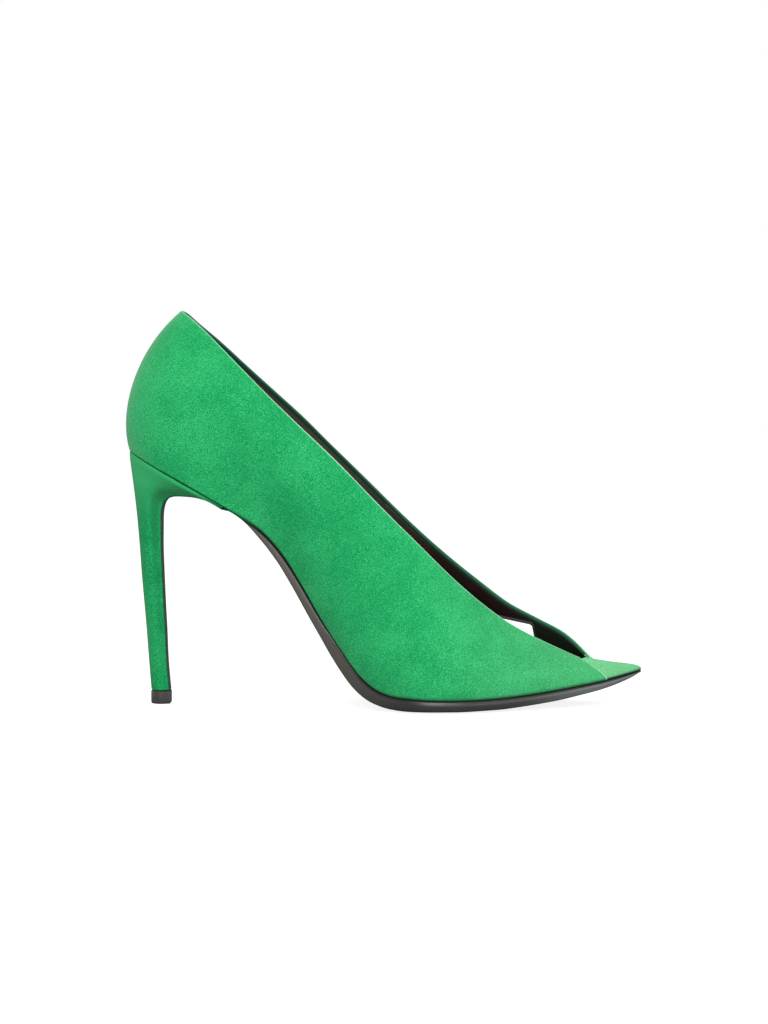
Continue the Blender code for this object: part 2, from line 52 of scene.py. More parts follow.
# Walls and clearances of the solids, which the pieces here keep to
GAP = 0.3
WALL = 1.7
WALL_AT_TIP = 1.2
LAP = 0.8
SOLE_LEAN = 0.5
SEAT_INSET = 0.5
FLAP = 0.75

# Places around the shoe: where the wings end over the toe cap, the toe's tip, a full turn, and
# where the search for a place starts
LAP_ROW = 17
TIP_ROW = 20
LOOP_ROWS = 2 * TIP_ROW
SEAT_START = 0.4
HALVINGS = 36


def named(columns, rows):
    """A table as arrays by the names of its columns."""
    return dict(zip(columns.split(), np.array(rows, dtype=float).T))


# Underside of the last, from the back of the seat to the toe: where it lies along the shoe, and
# the height of the feather line there
BOTTOM = named(
    "x z",
    (
        (-108.0, 107.8),
        (-96.0, 101.6),
        (-84.0, 95.3),
        (-72.0, 88.5),
        (-64.0, 83.8),
        (-57.0, 79.3),
        (-49.0, 73.0),
        (-41.0, 63.4),
        (-33.0, 50.3),
        (-25.0, 36.4),
        (-17.0, 24.4),
        (-10.0, 15.0),
        (-4.0, 9.8),
        (3.0, 6.9),
        (12.0, 5.9),
        (28.0, 5.3),
        (45.0, 5.5),
        (62.0, 6.7),
        (78.0, 8.7),
        (93.0, 11.1),
        (109.0, 14.9),
    ),
)

# Feather line in plan, a row for each section from the back of the heel to the tip of the toe
FEATHER = named(
    "near_x near_y far_x far_y",
    (
        (-107.1, 0.0, -107.1, 0.0),
        (-104.5, -9.6, -104.5, 9.6),
        (-97.2, -18.0, -97.2, 18.0),
        (-86.0, -22.8, -86.0, 22.6),
        (-72.0, -23.8, -72.0, 22.6),
        (-58.0, -22.2, -58.0, 19.6),
        (-46.0, -19.9, -46.0, 16.6),
        (-34.0, -19.0, -34.0, 15.2),
        (-22.0, -20.4, -22.0, 15.6),
        (-10.0, -25.0, -10.0, 19.6),
        (3.0, -31.4, 3.0, 26.4),
        (17.0, -36.4, 17.0, 33.2),
        (31.0, -35.4, 31.0, 36.9),
        (45.0, -30.8, 45.0, 33.8),
        (58.0, -25.0, 58.0, 27.6),
        (71.0, -18.8, 71.0, 20.6),
        (83.0, -13.0, 83.0, 14.6),
        (94.0, -7.9, 94.0, 9.6),
        (100.6, -4.6, 100.6, 6.4),
        (105.6, -1.8, 105.8, 4.0),
        (108.3, 1.4, 108.3, 1.4),
    ),
)

# Topline at the same sections, down to the lap over the toe cap
TOPLINE = named(
    "near_x near_y near_z far_x far_y far_z",
    (
        (-84.6, 0.2, 165.6, -84.6, 0.2, 165.6),
        (-83.2, -7.4, 164.9, -82.8, 7.8, 164.2),
        (-78.6, -13.4, 161.8, -77.8, 14.0, 159.3),
        (-70.2, -19.4, 154.3, -69.4, 19.6, 151.7),
        (-58.8, -23.8, 143.0, -58.2, 23.9, 141.0),
        (-47.0, -26.0, 131.2, -46.5, 26.2, 130.2),
        (-36.0, -27.2, 120.6, -35.5, 27.2, 120.1),
        (-25.5, -27.7, 110.7, -25.0, 27.8, 109.6),
        (-15.5, -27.8, 101.0, -15.0, 27.8, 99.9),
        (-5.0, -27.2, 90.1, -5.0, 27.2, 90.2),
        (5.5, -26.2, 79.4, 5.5, 26.1, 80.0),
        (16.5, -24.4, 68.4, 16.5, 24.4, 69.9),
        (28.0, -22.0, 56.8, 28.0, 21.7, 60.2),
        (40.0, -19.0, 45.9, 40.0, 18.0, 51.0),
        (51.5, -15.1, 37.0, 52.5, 13.1, 42.1),
        (62.5, -11.0, 30.4, 65.0, 8.0, 35.9),
        (73.0, -6.9, 25.0, 76.8, 3.3, 29.8),
        (82.4, -3.4, 20.4, 86.6, -0.2, 20.3),
    ),
)

# Handles of the ribs between feather line and topline: the low one leaves the feather line
# outward and upward, the high one leaves the topline forward, outward and downward
HANDLES = named(
    "low_out low_up high_forward high_out high_down",
    (
        (4.9, 17.4, -18.6, 0.0, 14.9),
        (4.8, 17.2, -15.3, 4.5, 14.8),
        (4.4, 17.0, -9.2, 8.5, 15.8),
        (3.8, 17.0, -3.5, 8.5, 19.0),
        (3.6, 18.0, -1.0, 7.0, 20.0),
        (5.0, 20.0, 0.0, 6.0, 22.0),
        (7.5, 21.0, 0.0, 5.0, 24.0),
        (9.0, 22.0, 0.0, 4.5, 26.0),
        (9.0, 22.0, 0.0, 4.5, 24.0),
        (7.5, 20.0, 0.0, 5.0, 22.0),
        (6.0, 17.0, 0.0, 6.0, 18.0),
        (4.6, 14.0, 0.0, 7.0, 14.0),
        (3.6, 11.0, 0.0, 7.0, 11.0),
        (3.0, 8.6, 0.0, 6.4, 8.0),
        (2.4, 6.6, 0.5, 5.4, 5.6),
        (1.9, 5.0, 1.0, 4.4, 4.2),
        (1.4, 3.6, 2.0, 3.0, 3.2),
        (1.0, 2.6, 3.0, 1.8, 2.2),
        (0.6, 2.6, 8.5, 1.6, 2.0),
        (0.4, 3.0, 13.0, 0.7, 2.9),
        (0.2, 3.3, 15.6, 0.0, 3.2),
    ),
)

# Corners of the cut-out on the medial side, seen from the side, the radius and the steps of
# their arcs, the depths between which the side is cut, and the depths from which it is felt for
CUT_OUT = ((62.5, 33.0), (66.0, 14.6), (27.0, 14.2), (29.0, 38.6))
CUT_OUT_RADIUS = 2.0
CORNER_STEPS = 8
CUT_OUT_DEPTH = (5.0, 60.0)
CUT_OUT_FELT_FROM = (4.0, 60.0)

# Outsole ahead of the heel: place, height of its tread, how far its edges lie above the tread,
# and how far they stand past the feather line
SOLE = named(
    "x tread_z edge_lift overhang",
    (
        (-64.6, 82.1, 0.0, -2.4),
        (-62.0, 80.9, 0.0, -2.4),
        (-56.0, 76.4, 0.0, -2.2),
        (-51.4, 71.2, 0.0, -2.0),
        (-47.3, 65.9, 0.1, -1.8),
        (-43.1, 59.9, 0.1, -1.6),
        (-39.0, 53.0, 0.1, -1.5),
        (-34.8, 45.5, 0.1, -1.4),
        (-30.6, 37.9, 0.1, -1.2),
        (-26.4, 30.5, 0.2, -1.1),
        (-22.2, 23.2, 0.2, -1.0),
        (-17.9, 16.4, 0.3, -0.8),
        (-13.6, 10.5, 0.4, -0.6),
        (-9.3, 6.2, 0.5, -0.4),
        (-5.1, 3.3, 0.7, -0.1),
        (0.0, 1.3, 0.9, 0.1),
        (6.0, 0.3, 1.0, 0.3),
        (12.0, 0.0, 1.0, 0.4),
        (22.0, 0.0, 0.8, 0.5),
        (32.0, 0.0, 0.7, 0.5),
        (41.0, 0.3, 0.6, 0.5),
        (50.0, 0.8, 0.4, 0.5),
        (58.0, 1.6, 0.3, 0.5),
        (66.0, 2.6, 0.2, 0.5),
        (74.0, 3.8, 0.1, 0.5),
        (82.0, 5.3, 0.1, 0.4),
        (90.0, 7.1, 0.0, 0.4),
        (97.0, 9.1, 0.0, 0.3),
        (103.0, 11.4, 0.0, 0.3),
        (106.6, 13.2, 0.0, 0.3),
        (108.2, 14.1, 0.0, 0.3),
    ),
)

# Heel: the ends of each section seen from the side, its greatest half width, the half width of
# its breast, and how much of the seat's own outline it still has
HEEL = named(
    "back_x back_z front_x front_z half_width breast seat",
    (
        (-106.7, 106.75, -66.0, 84.7, 23.0, 20.8, 1.00),
        (-106.7, 105.6, -66.5, 84.2, 22.8, 20.4, 0.98),
        (-106.6, 103.6, -71.0, 86.7, 21.9, 18.0, 0.90),
        (-106.3, 101.2, -76.5, 88.4, 20.2, 15.2, 0.70),
        (-106.0, 98.4, -82.5, 89.0, 17.9, 12.2, 0.45),
        (-105.6, 94.8, -88.6, 88.7, 15.4, 9.2, 0.20),
        (-105.1, 90.4, -92.4, 86.2, 13.0, 6.8, 0.05),
        (-104.5, 85.0, -94.0, 81.4, 11.2, 5.7, 0.00),
        (-103.7, 77.0, -94.2, 74.0, 9.5, 5.0, 0.00),
        (-102.9, 67.0, -94.2, 65.0, 8.2, 4.5, 0.00),
        (-102.1, 55.0, -93.8, 54.0, 7.2, 4.2, 0.00),
        (-101.1, 43.0, -93.3, 42.5, 6.4, 3.9, 0.00),
        (-100.1, 31.0, -92.7, 30.8, 5.7, 3.7, 0.00),
        (-99.2, 18.5, -92.2, 18.5, 5.1, 3.5, 0.00),
        (-98.2, 5.7, -91.1, 5.7, 4.6, 3.4, 0.00),
    ),
)

# The heel is widest at this share of its depth; the seat above it has this half width
WIDEST_AT = 0.55
SEAT_HALF_WIDTH = 22.6

# Upper: the suede's thickness, where the lining starts behind it, the turned top edge, and how
# the foot of the upper turns in towards the sole, less so over the heel
SUEDE = 0.75
LINING_STARTS = 0.9
EDGE_THICKNESS = 1.7
EDGE_THINS_OVER = 7.0
EDGE_RADIUS = 0.6
TURNED_STRIP = 2.2
FOOT_TURN = 0.8
FOOT_TURN_DEPTH = 0.7
HEEL_TURN_SHARE = 0.35
HEEL_TURN_ENDS = (-66.0, -52.0)
SHADED_OVER = 2.0

# Lip of the cut-out: how much wider it is at its top rear corner and narrower elsewhere, and how
# far it hangs into the opening there
LIP_WIDENS = 1.9
LIP_NARROWS = 0.45
LIP_DROPS = 0.6

# Section of the cut-out's rim: how far each point lies back from the opening, how far it stands
# proud of the wall, and its side, 1 for suede outside and -1 for lining leather inside
RIM_SECTION = (
    (1.5, -0.25, 1), (1.25, 0.1, 1), (0.8, 0.24, 1), (0.3, 0.26, 1), (-0.05, 0.12, 1),
    (-0.28, -0.2, 1), (-0.38, -0.6, 1),
    (-0.42, -0.6, -1), (-0.36, -0.1, -1), (-0.1, 0.3, -1), (0.4, 0.52, -1),
    (1.0, 0.5, -1), (1.6, 0.3, -1), (2.1, 0.02, -1), (2.3, -0.3, -1),
)
RIM_SPACING = 0.7

# Footbed with its sock
SOCK_END = 17.6
SOCK_THINS_FROM = 14.0
SOCK_THICKNESS = 2.4
SOCK_THICKNESS_AT_TOE = 1.2
SOCK_EDGE_RADIUS = 0.6
SOCK_DISH = 0.25
SOCK_ACROSS = 16

# Joints between upper, sock and sole. Each cord has a distance in from the feather line, a height
# above the last's underside and a radius
MARGIN_END = 19.2
MARGIN_INSET = 1.0
FEATHER_SEAM = (0.85, -0.1, 0.5)
SOCK_SEAM = (WALL + LAP + 0.1, 0.1, 0.4)
LASTING_BEAD = (1.05, 0.55, 0.6)
CORD_SIDES = 10

# Sole: its rounded lower edge, bevelled upper edge and bulging waxed edge, the rim of its tread,
# and how much thinner it is shaved where it meets the heel
SOLE_EDGE_RADIUS = 0.9
SOLE_BEVEL = 0.3
EDGE_BULGE = 0.3
TREAD_RIM = 7.0
SHAVED = 0.6
SHAVED_UNTIL = (-60.0, -54.0)

# Heel: the rows of its sections, the suede's growth over the breast, and the shade on its wing
HEEL_ROWS = np.append([0.0, 1.0], np.arange(2.0, len(HEEL["back_x"]) - 0.9, 0.125))
HEEL_SIDE_STEPS = 26
COVER = 0.6
WING_SHADE = 0.7
WING_SHADE_RUN = (-80.0, -67.0)

# Top piece: height of each of its outlines and how far it is grown
TOP_PIECE_OUTLINES = (
    (5.4, -0.15), (5.3, 0.05), (5.1, 0.15), (0.7, 0.15), (0.35, 0.08), (0.12, -0.08), (0.0, -0.3),
)

# Rows along a rib: distances up from the feather line, plain rows between, distances down from
# the top edge
FOOT_ROWS = np.array([0.0, 0.12, 0.3, 0.55, 0.85, 1.5])
BODY_ROWS = 34
TOP_ROWS = np.array([3.2, 2.6, 2.34, 2.2, 1.6, 1.0, 0.6, 0.42, 0.26, 0.12, 0.03, 0.0])
PLACE_STEP = 0.1


def spline(values, at):
    """Smooth curve through rows of values, read at fractional row numbers; its ends are open."""
    values = np.asarray(values, dtype=float)
    slopes = np.gradient(values, axis=0, edge_order=2)
    at = np.clip(np.asarray(at, dtype=float), 0.0, len(values) - 1.0)
    row = np.minimum(at.astype(int), len(values) - 2)
    f = (at - row).reshape(at.shape + (1,) * (values.ndim - 1))
    start, end = values[row], values[row + 1]
    leave, arrive = slopes[row], slopes[row + 1]
    return (
        start * (1 + 2 * f) * (1 - f) ** 2
        + leave * f * (1 - f) ** 2
        + end * f**2 * (3 - 2 * f)
        - arrive * f**2 * (1 - f)
    )


def curve_at(xs, values, x):
    """Smooth curve through values given at uneven places xs, read at x."""
    slopes = np.gradient(values, xs)
    x = np.clip(np.asarray(x, dtype=float), xs[0], xs[-1])
    row = np.clip(np.searchsorted(xs, x) - 1, 0, len(xs) - 2)
    span = xs[row + 1] - xs[row]
    f = (x - xs[row]) / span
    return (
        values[row] * (1 + 2 * f) * (1 - f) ** 2
        + slopes[row] * span * f * (1 - f) ** 2
        + values[row + 1] * f**2 * (3 - 2 * f)
        - slopes[row + 1] * span * f**2 * (1 - f)
    )


NEAR_FEET = np.stack([FEATHER["near_x"], FEATHER["near_y"]], axis=1)
FAR_FEET = np.stack([FEATHER["far_x"], FEATHER["far_y"]], axis=1)
NEAR_TOPS = np.stack([TOPLINE["near_x"], TOPLINE["near_y"], TOPLINE["near_z"]], axis=1)
FAR_TOPS = np.stack([TOPLINE["far_x"], TOPLINE["far_y"], TOPLINE["far_z"]], axis=1)
RIB_HANDLES = np.stack(list(HANDLES.values()), axis=1)


def bottom_z(x):
    """Height of the last's underside at x."""
    return curve_at(BOTTOM["x"], BOTTOM["z"], x)


def on_loop(near, far, at):
    """A value of the sections read around the shoe, from 0 at the heel's back on the near side."""
    loop = np.concatenate([near, far[-2:0:-1]])
    spared = np.concatenate([loop[-3:], loop, loop[:3]])
    return spline(spared, np.mod(at, LOOP_ROWS) + 3)


def feather(at):
    """Points of the feather line and the directions pointing out from the shoe there."""
    plan = on_loop(NEAR_FEET, FAR_FEET, at)
    step = 0.01
    along = on_loop(NEAR_FEET, FAR_FEET, at + step) - on_loop(NEAR_FEET, FAR_FEET, at - step)
    along /= np.linalg.norm(along, axis=1)[:, None]
    out = np.stack([along[:, 1], -along[:, 0], np.zeros(len(at))], axis=1)
    points = np.column_stack([plan, bottom_z(plan[:, 0])])
    return points, out


def topline(at):
    """Points of the top edge: the topline of both wings, and the throat of the toe cap between."""
    run = np.concatenate([FAR_TOPS[:0:-1], NEAR_TOPS])
    back = len(FAR_TOPS) - 1
    at = np.mod(at, LOOP_ROWS)
    signed = np.where(at > TIP_ROW, at - LOOP_ROWS, at)
    on_wings = spline(run, signed + back)
    share = np.clip((at - LAP_ROW) / (LOOP_ROWS - 2 * LAP_ROW), 0.0, 1.0)[:, None]
    on_throat = NEAR_TOPS[-1] * (1 - share) + FAR_TOPS[-1] * share
    return np.where(np.abs(signed)[:, None] <= LAP_ROW, on_wings, on_throat)


def rib_handles(at):
    """The four points that bend each rib, from the feather line to the top edge."""
    foot, out = feather(at)
    top = topline(at)
    low_out, low_up, forward, sideways, down = on_loop(RIB_HANDLES, RIB_HANDLES, at).T
    side = np.where(np.mod(at, LOOP_ROWS) <= TIP_ROW, -1.0, 1.0)
    low = foot + out * low_out[:, None]
    low[:, 2] += low_up
    high = top + np.stack([forward, side * sideways, -down], axis=1)
    return foot, low, high, top


def bent(handles, t):
    """Points of the ribs, a row of shares t from foot to top for each rib."""
    foot, low, high, top = (points[:, None] for points in handles)
    t = t[:, :, None]
    return (
        foot * (1 - t) ** 3
        + 3 * low * t * (1 - t) ** 2
        + 3 * high * t**2 * (1 - t)
        + top * t**3
    )


def last_surface(at, t):
    """Points of the last at the places and shares given, and the directions out of it."""
    step = 0.01
    handles = rib_handles(at)
    points = bent(handles, t)
    around = bent(rib_handles(at + step), t) - bent(rib_handles(at - step), t)
    up = bent(handles, np.minimum(t + step, 1.0)) - bent(handles, np.maximum(t - step, 0.0))
    normals = np.cross(around, up)
    return points, normals / np.linalg.norm(normals, axis=2)[:, :, None]


def rib_shares(at):
    """Shares along each rib: close rows at the foot and at the top edge, plain rows between."""
    foot, low, high, top = rib_handles(at)
    foot_run = 3 * np.linalg.norm(low - foot, axis=1)[:, None]
    top_run = 3 * np.linalg.norm(top - high, axis=1)[:, None]
    below = FOOT_ROWS[None, :] / foot_run
    above = 1 - TOP_ROWS[None, :] / top_run
    plain = np.linspace(0.0, 1.0, BODY_ROWS + 2)[None, 1:-1]
    between = below[:, -1:] + (above[:, :1] - below[:, -1:]) * plain
    return np.concatenate([below, between, above], axis=1)


def distances(points):
    """How far each point of a rib is from its foot and from its top edge."""
    steps = np.linalg.norm(np.diff(points, axis=1), axis=2)
    run = np.concatenate([np.zeros((len(points), 1)), np.cumsum(steps, axis=1)], axis=1)
    return run, run[:, -1:] - run


def rounding(distance, radius):
    """How far a surface falls back from an edge of the given radius, by its distance from it."""
    reach = np.clip(1 - distance / radius, 0.0, 1.0)
    return radius * (1 - np.sqrt(1 - reach**2))


def row_of(at):
    """The section that a place belongs to, counted from the heel's back on either side."""
    at = np.mod(at, LOOP_ROWS)
    return np.where(at > TIP_ROW, LOOP_ROWS - at, at)


def cap_share(at):
    """0 along the wings and 1 at the tip of the toe."""
    return np.clip((row_of(at) - LAP_ROW) / (TIP_ROW - LAP_ROW), 0.0, 1.0)[:, None]


def smooth(value, start, end):
    """0 before start, 1 past end, and a soft run between."""
    share = np.clip((value - start) / (end - start), 0.0, 1.0)
    return share * share * (3 - 2 * share)


def give_attribute(mesh, name, values):
    made = mesh.attributes.new(name, "FLOAT", "POINT")
    made.data.foreach_set("value", np.asarray(values, dtype=np.float32).ravel())


def make_mesh(name, points, faces, materials, attributes=None, tint=None):
    """A smooth mesh object from points in millimetres, with its faces turned outward; tint gives
    the number of each face's material.
    """
    mesh = bpy.data.meshes.new(name)
    points = np.asarray(points, dtype=float).reshape(-1, 3) * MM
    mesh.from_pydata(points.tolist(), [], faces)
    for attribute, values in (attributes or {}).items():
        give_attribute(mesh, attribute, values)
    for material in materials:
        mesh.materials.append(material)
    if tint is not None:
        mesh.polygons.foreach_set("material_index", np.asarray(tint, dtype=np.int32))
    bm = bmesh.new()
    bm.from_mesh(mesh)
    bmesh.ops.recalc_face_normals(bm, faces=bm.faces)
    bm.to_mesh(mesh)
    bm.free()
    mesh.shade_smooth()
    obj = bpy.data.objects.new(name, mesh)
    bpy.context.scene.collection.objects.link(obj)
    return obj


def quads(columns, rows, ring):
    """Faces of a grid of columns and rows, closed around where it is a ring."""
    across = columns if ring else columns - 1
    i, j = np.meshgrid(np.arange(across), np.arange(rows - 1), indexing="ij")
    k = (i + 1) % columns
    grid = np.stack([i * rows + j, k * rows + j, k * rows + j + 1, i * rows + j + 1], axis=-1)
    return grid.reshape(-1, 4)


def make_sheet(name, outer, inner, ring, materials, attributes=None):
    """A closed solid between two grids of equal counts: a cut piece of suede or leather."""
    columns, rows = outer.shape[:2]
    face_grid = quads(columns, rows, ring)
    back = columns * rows
    faces = [face_grid, face_grid[:, ::-1] + back]
    across = columns if ring else columns - 1
    i = np.arange(across)
    k = (i + 1) % columns
    for row in (0, rows - 1):
        a, b = i * rows + row, k * rows + row
        faces.append(np.stack([a, b, b + back, a + back], axis=1))
    if not ring:
        j = np.arange(rows - 1)
        for column in (0, columns - 1):
            a = column * rows + j
            faces.append(np.stack([a, a + 1, a + 1 + back, a + back], axis=1))
    points = np.concatenate([outer.reshape(-1, 3), inner.reshape(-1, 3)])
    doubled = {}
    for key, (front, behind) in (attributes or {}).items():
        doubled[key] = np.concatenate([front.ravel(), behind.ravel()])
    return make_mesh(name, points, np.concatenate(faces).tolist(), materials, doubled)


def make_loft(name, rings, materials, attributes=None):
    """A closed solid through rings of equal counts, with a fan of faces at either end."""
    rings = np.asarray(rings, dtype=float)
    count, around = rings.shape[:2]
    j = np.arange(around)
    k = (j + 1) % around
    faces = []
    for i in range(count - 1):
        faces.append(np.stack([i * around + j, i * around + k,
                               (i + 1) * around + k, (i + 1) * around + j], axis=1))
    faces = np.concatenate(faces).tolist()
    points = [*rings.reshape(-1, 3)]
    for ring in (0, count - 1):
        points.append(rings[ring].mean(axis=0))
        middle = len(points) - 1
        for a, b in zip(j, k):
            faces.append([ring * around + int(a), ring * around + int(b), middle])
    if attributes:
        ends = (0, count - 1)
        attributes = {
            key: np.concatenate([np.ravel(v), [np.asarray(v)[e].mean() for e in ends]])
            for key, v in attributes.items()
        }
    return make_mesh(name, points, faces, materials, attributes)


class Signal:
    """A socket of a material's tree, with arithmetic on it written as Python expressions."""

    def __init__(self, tree, socket=None):
        self.tree = tree
        self.socket = socket

    def node(self, kind, settings=None, inputs=None, output=0):
        """A node of any kind: its settings first, then the values or links of its sockets."""
        made = self.tree.nodes.new(kind)
        for name, value in (settings or {}).items():
            if name == "stops":
                while len(made.color_ramp.elements) < len(value):
                    made.color_ramp.elements.new(0.5)
                for element, (place, colour) in zip(made.color_ramp.elements, value):
                    element.position = place
                    element.color = colour
            else:
                setattr(made, name, value)
        for key, value in (inputs or {}).items():
            if isinstance(value, Signal):
                self.tree.links.new(value.socket, made.inputs[key])
            else:
                made.inputs[key].default_value = value
        return Signal(self.tree, made.outputs[output])

    def maths(self, operation, first, second=0.0):
        return self.node("ShaderNodeMath", {"operation": operation}, {0: first, 1: second})

    def __add__(self, other):
        return self.maths("ADD", self, other)

    def __radd__(self, other):
        return self.maths("ADD", other, self)

    def __sub__(self, other):
        return self.maths("SUBTRACT", self, other)

    def __rsub__(self, other):
        return self.maths("SUBTRACT", other, self)

    def __mul__(self, other):
        return self.maths("MULTIPLY", self, other)

    def __rmul__(self, other):
        return self.maths("MULTIPLY", other, self)

    def ramp(self, start, end):
        """0 below start and 1 above end, with a soft run between."""
        return self.node(
            "ShaderNodeMapRange",
            {"interpolation_type": "SMOOTHSTEP"},
            {"Value": self, "From Min": start, "From Max": end},
        )

    def mix(self, colour, other):
        """From colour to other as this signal goes from 0 to 1."""
        return self.node(
            "ShaderNodeMix",
            {"data_type": "RGBA"},
            {0: self, 6: colour, 7: other},
            output=2,
        )


def rgb(red, green, blue):
    """A screen colour of 0 to 255 as the linear colour a shader takes."""
    linear = []
    for value in (red, green, blue):
        share = value / 255
        linear.append(share / 12.92 if share <= 0.04045 else ((share + 0.055) / 1.055) ** 2.4)
    return (*linear, 1.0)


def new_material(name, roughness, sheen=0.0, sheen_tint=(1.0, 1.0, 1.0, 1.0), specular=0.5):
    """A material with its plain shader, and the start of its tree of signals."""
    material = bpy.data.materials.new(name)
    material.use_nodes = True
    tree = material.node_tree
    shader = tree.nodes["Principled BSDF"]
    shader.inputs["Roughness"].default_value = roughness
    shader.inputs["Specular IOR Level"].default_value = specular
    shader.inputs["Sheen Weight"].default_value = sheen
    shader.inputs["Sheen Roughness"].default_value = 0.45
    shader.inputs["Sheen Tint"].default_value = sheen_tint
    return material, shader, Signal(tree)


def feed(start, shader, name, signal):
    start.tree.links.new(signal.socket, shader.inputs[name])


def noise(start, where, scale, detail=2.0, roughness=0.5):
    """Noise whose features repeat about scale times in a metre."""
    return start.node(
        "ShaderNodeTexNoise",
        {"noise_dimensions": "3D"},
        {"Vector": where, "Scale": scale, "Detail": detail, "Roughness": roughness},
    )


def bump(start, height, depth_mm, strength=1.0):
    return start.node(
        "ShaderNodeBump", {}, {"Height": height, "Strength": strength, "Distance": depth_mm * MM}
    )


def attribute(start, name):
    """A named value that the mesh carries at its points."""
    return start.node("ShaderNodeAttribute", {"attribute_name": name}, output=2)


def place_on_shoe(start):
    """The place on the shoe, in metres, and its parts along the shoe and up from the floor."""
    where = start.node("ShaderNodeTexCoord", output=3)
    along = start.node("ShaderNodeSeparateXYZ", {}, {0: where})
    height = Signal(start.tree, along.socket.node.outputs[2])
    return where, along, height


SUEDE_DARK = rgb(4, 137, 75)
SUEDE_MID = rgb(16, 160, 91)
SUEDE_LIGHT = rgb(56, 186, 113)
# Painted sheen: paler, greyer greens for the surfaces towards the toe that face the overhead light
SUEDE_PAINTED_SHEEN = rgb(106, 182, 126)
SUEDE_PAINTED_SHEEN_BRIGHTEST = rgb(136, 198, 146)
SUEDE_SHADED = rgb(14, 52, 34)
# Painted highlight along the free edges of the wings
SUEDE_EDGE_HIGHLIGHT = rgb(150, 212, 164)
SUEDE_FOLD = rgb(40, 96, 72)
SUEDE_TURNED = rgb(12, 52, 36)
SHEEN_TINT = (0.75, 1.0, 0.82, 1.0)

# The other finishes, and the light and shade painted on some: a pair of colours for the two
# ends of a grain, or one colour
LINING_BROWN = (rgb(34, 21, 19), rgb(44, 27, 24))
LINING_IN_TOE = rgb(25, 36, 25)
SOCK_BROWN = (rgb(50, 33, 27), rgb(66, 45, 36))
SOLE_EDGE = (rgb(36, 38, 36), rgb(46, 48, 45))
# Painted reflection of the white surroundings on the sole's edge at the shank and at the toe
SOLE_EDGE_REFLECTION_AT_SHANK = rgb(82, 78, 72)
SOLE_EDGE_REFLECTION_AT_TOE = rgb(100, 106, 103)
# Painted shade on the sole's edge under the upper
SOLE_EDGE_SHADE_UNDER_UPPER = rgb(24, 26, 23)
# Painted in the shaded dark green of the heel's suede wing where the sole starts
SOLE_EDGE_SHADED_SUEDE_BY_HEEL = rgb(10, 74, 42)
TREAD = (rgb(40, 39, 38), rgb(52, 50, 48))
RUBBER = (rgb(46, 45, 43), rgb(62, 60, 58))
RIM_DARK = (rgb(26, 26, 24), rgb(40, 40, 37))
# Painted highlight on the cut-out's top lip
RIM_HIGHLIGHT = (rgb(88, 84, 86), rgb(118, 112, 114))
# Dark joint with painted shade, and the heel's suede green in painted shade by the heel
SEAM_DARK_AND_SHADE = (rgb(12, 26, 20), rgb(20, 38, 28))
SEAM_SHADED_GREEN_BY_HEEL = rgb(4, 96, 50)

# Where a finish or a painted light or shade changes, in metres along the shoe or up from the
# floor: from, to
TOE_PAINTED_SHEEN = (0.010, 0.090)
HEEL_TOP_PAINTED_LIGHT = (0.070, 0.100)
EDGE_HIGHLIGHT_TOWARD_TOE = (-0.100, 0.0)
LINING_TURNS_DARK = (0.050, 0.066)
SHANK_EDGE_REFLECTION = (0.012, -0.022)
TOE_EDGE_REFLECTION = (0.050, 0.096)
HEEL_EDGE_SHADED_SUEDE = (-0.054, -0.060)
HEEL_SEAM_SHADE = (-0.050, -0.060)
LIP_HIGHLIGHT_HEIGHTS = (0.030, 0.040)


def suede(name, shade=1.0, sheen=0.3, pale=(0.0, 0.0), painted_light_at_heel_top=0.0, edges=False):
    """Brushed green suede: fine speckle on faint clouds, paler from the ball to the toe by the
    shares given, a painted sheen, and lighter at the top of the heel by the share given, painted
    light;
    with edges, a painted highlight along the free edges and a dark turned strip inside.
    """
    material, shader, start = new_material(name, 0.95, sheen, SHEEN_TINT, 0.15)
    where, along, height = place_on_shoe(start)
    clouds = noise(start, where, 55.0, 3.0, 0.55).ramp(0.3, 0.7)
    mottling = noise(start, where, 260.0, 3.0, 0.6).ramp(0.25, 0.75)
    speckle = noise(start, where, 2700.0, 1.0, 0.5)
    fibres = noise(start, where, 4200.0, 1.0, 0.5)
    tone = clouds * 0.22 + mottling * 0.06 + speckle.ramp(0.28, 0.72) * 0.72
    dark, mid, light = (
        tuple(part * shade for part in green[:3]) + (1.0,)
        for green in (SUEDE_DARK, SUEDE_MID, SUEDE_LIGHT)
    )
    colour = tone.ramp(0.2, 0.55).mix(dark, mid)
    colour = tone.ramp(0.5, 0.85).mix(colour, light)
    # Painted sheen from the ball to the toe, where the suede faces up into the light
    paler = tone.ramp(0.2, 0.8).mix(SUEDE_PAINTED_SHEEN, SUEDE_PAINTED_SHEEN_BRIGHTEST)
    sheen_toward_toe = along.ramp(*TOE_PAINTED_SHEEN) * (pale[1] - pale[0]) + pale[0]
    colour = sheen_toward_toe.mix(colour, paler)
    # Painted light on the top of the heel, whose surface turns down away from the lamps
    if painted_light_at_heel_top:
        colour = (height.ramp(*HEEL_TOP_PAINTED_LIGHT) * painted_light_at_heel_top).mix(colour, light)
    colour = attribute(start, "shaded").mix(colour, SUEDE_SHADED)
    if edges:
        turned = attribute(start, "turned")
        # Painted highlight along the free edges, stronger towards the toe
        rim = attribute(start, "rim").ramp(0.95, 0.4) * (along.ramp(*EDGE_HIGHLIGHT_TOWARD_TOE) * 0.65 + 0.35)
        colour = rim.mix(colour, SUEDE_EDGE_HIGHLIGHT)
        colour = turned.ramp(0.2, 0.5).mix(colour, SUEDE_FOLD)
        colour = turned.ramp(0.5, 1.0).mix(colour, SUEDE_TURNED)
    feed(start, shader, "Base Color", colour)
    nap = speckle * 0.7 + fibres * 0.3
    feed(start, shader, "Normal", bump(start, nap, 0.25, 0.55))
    return material


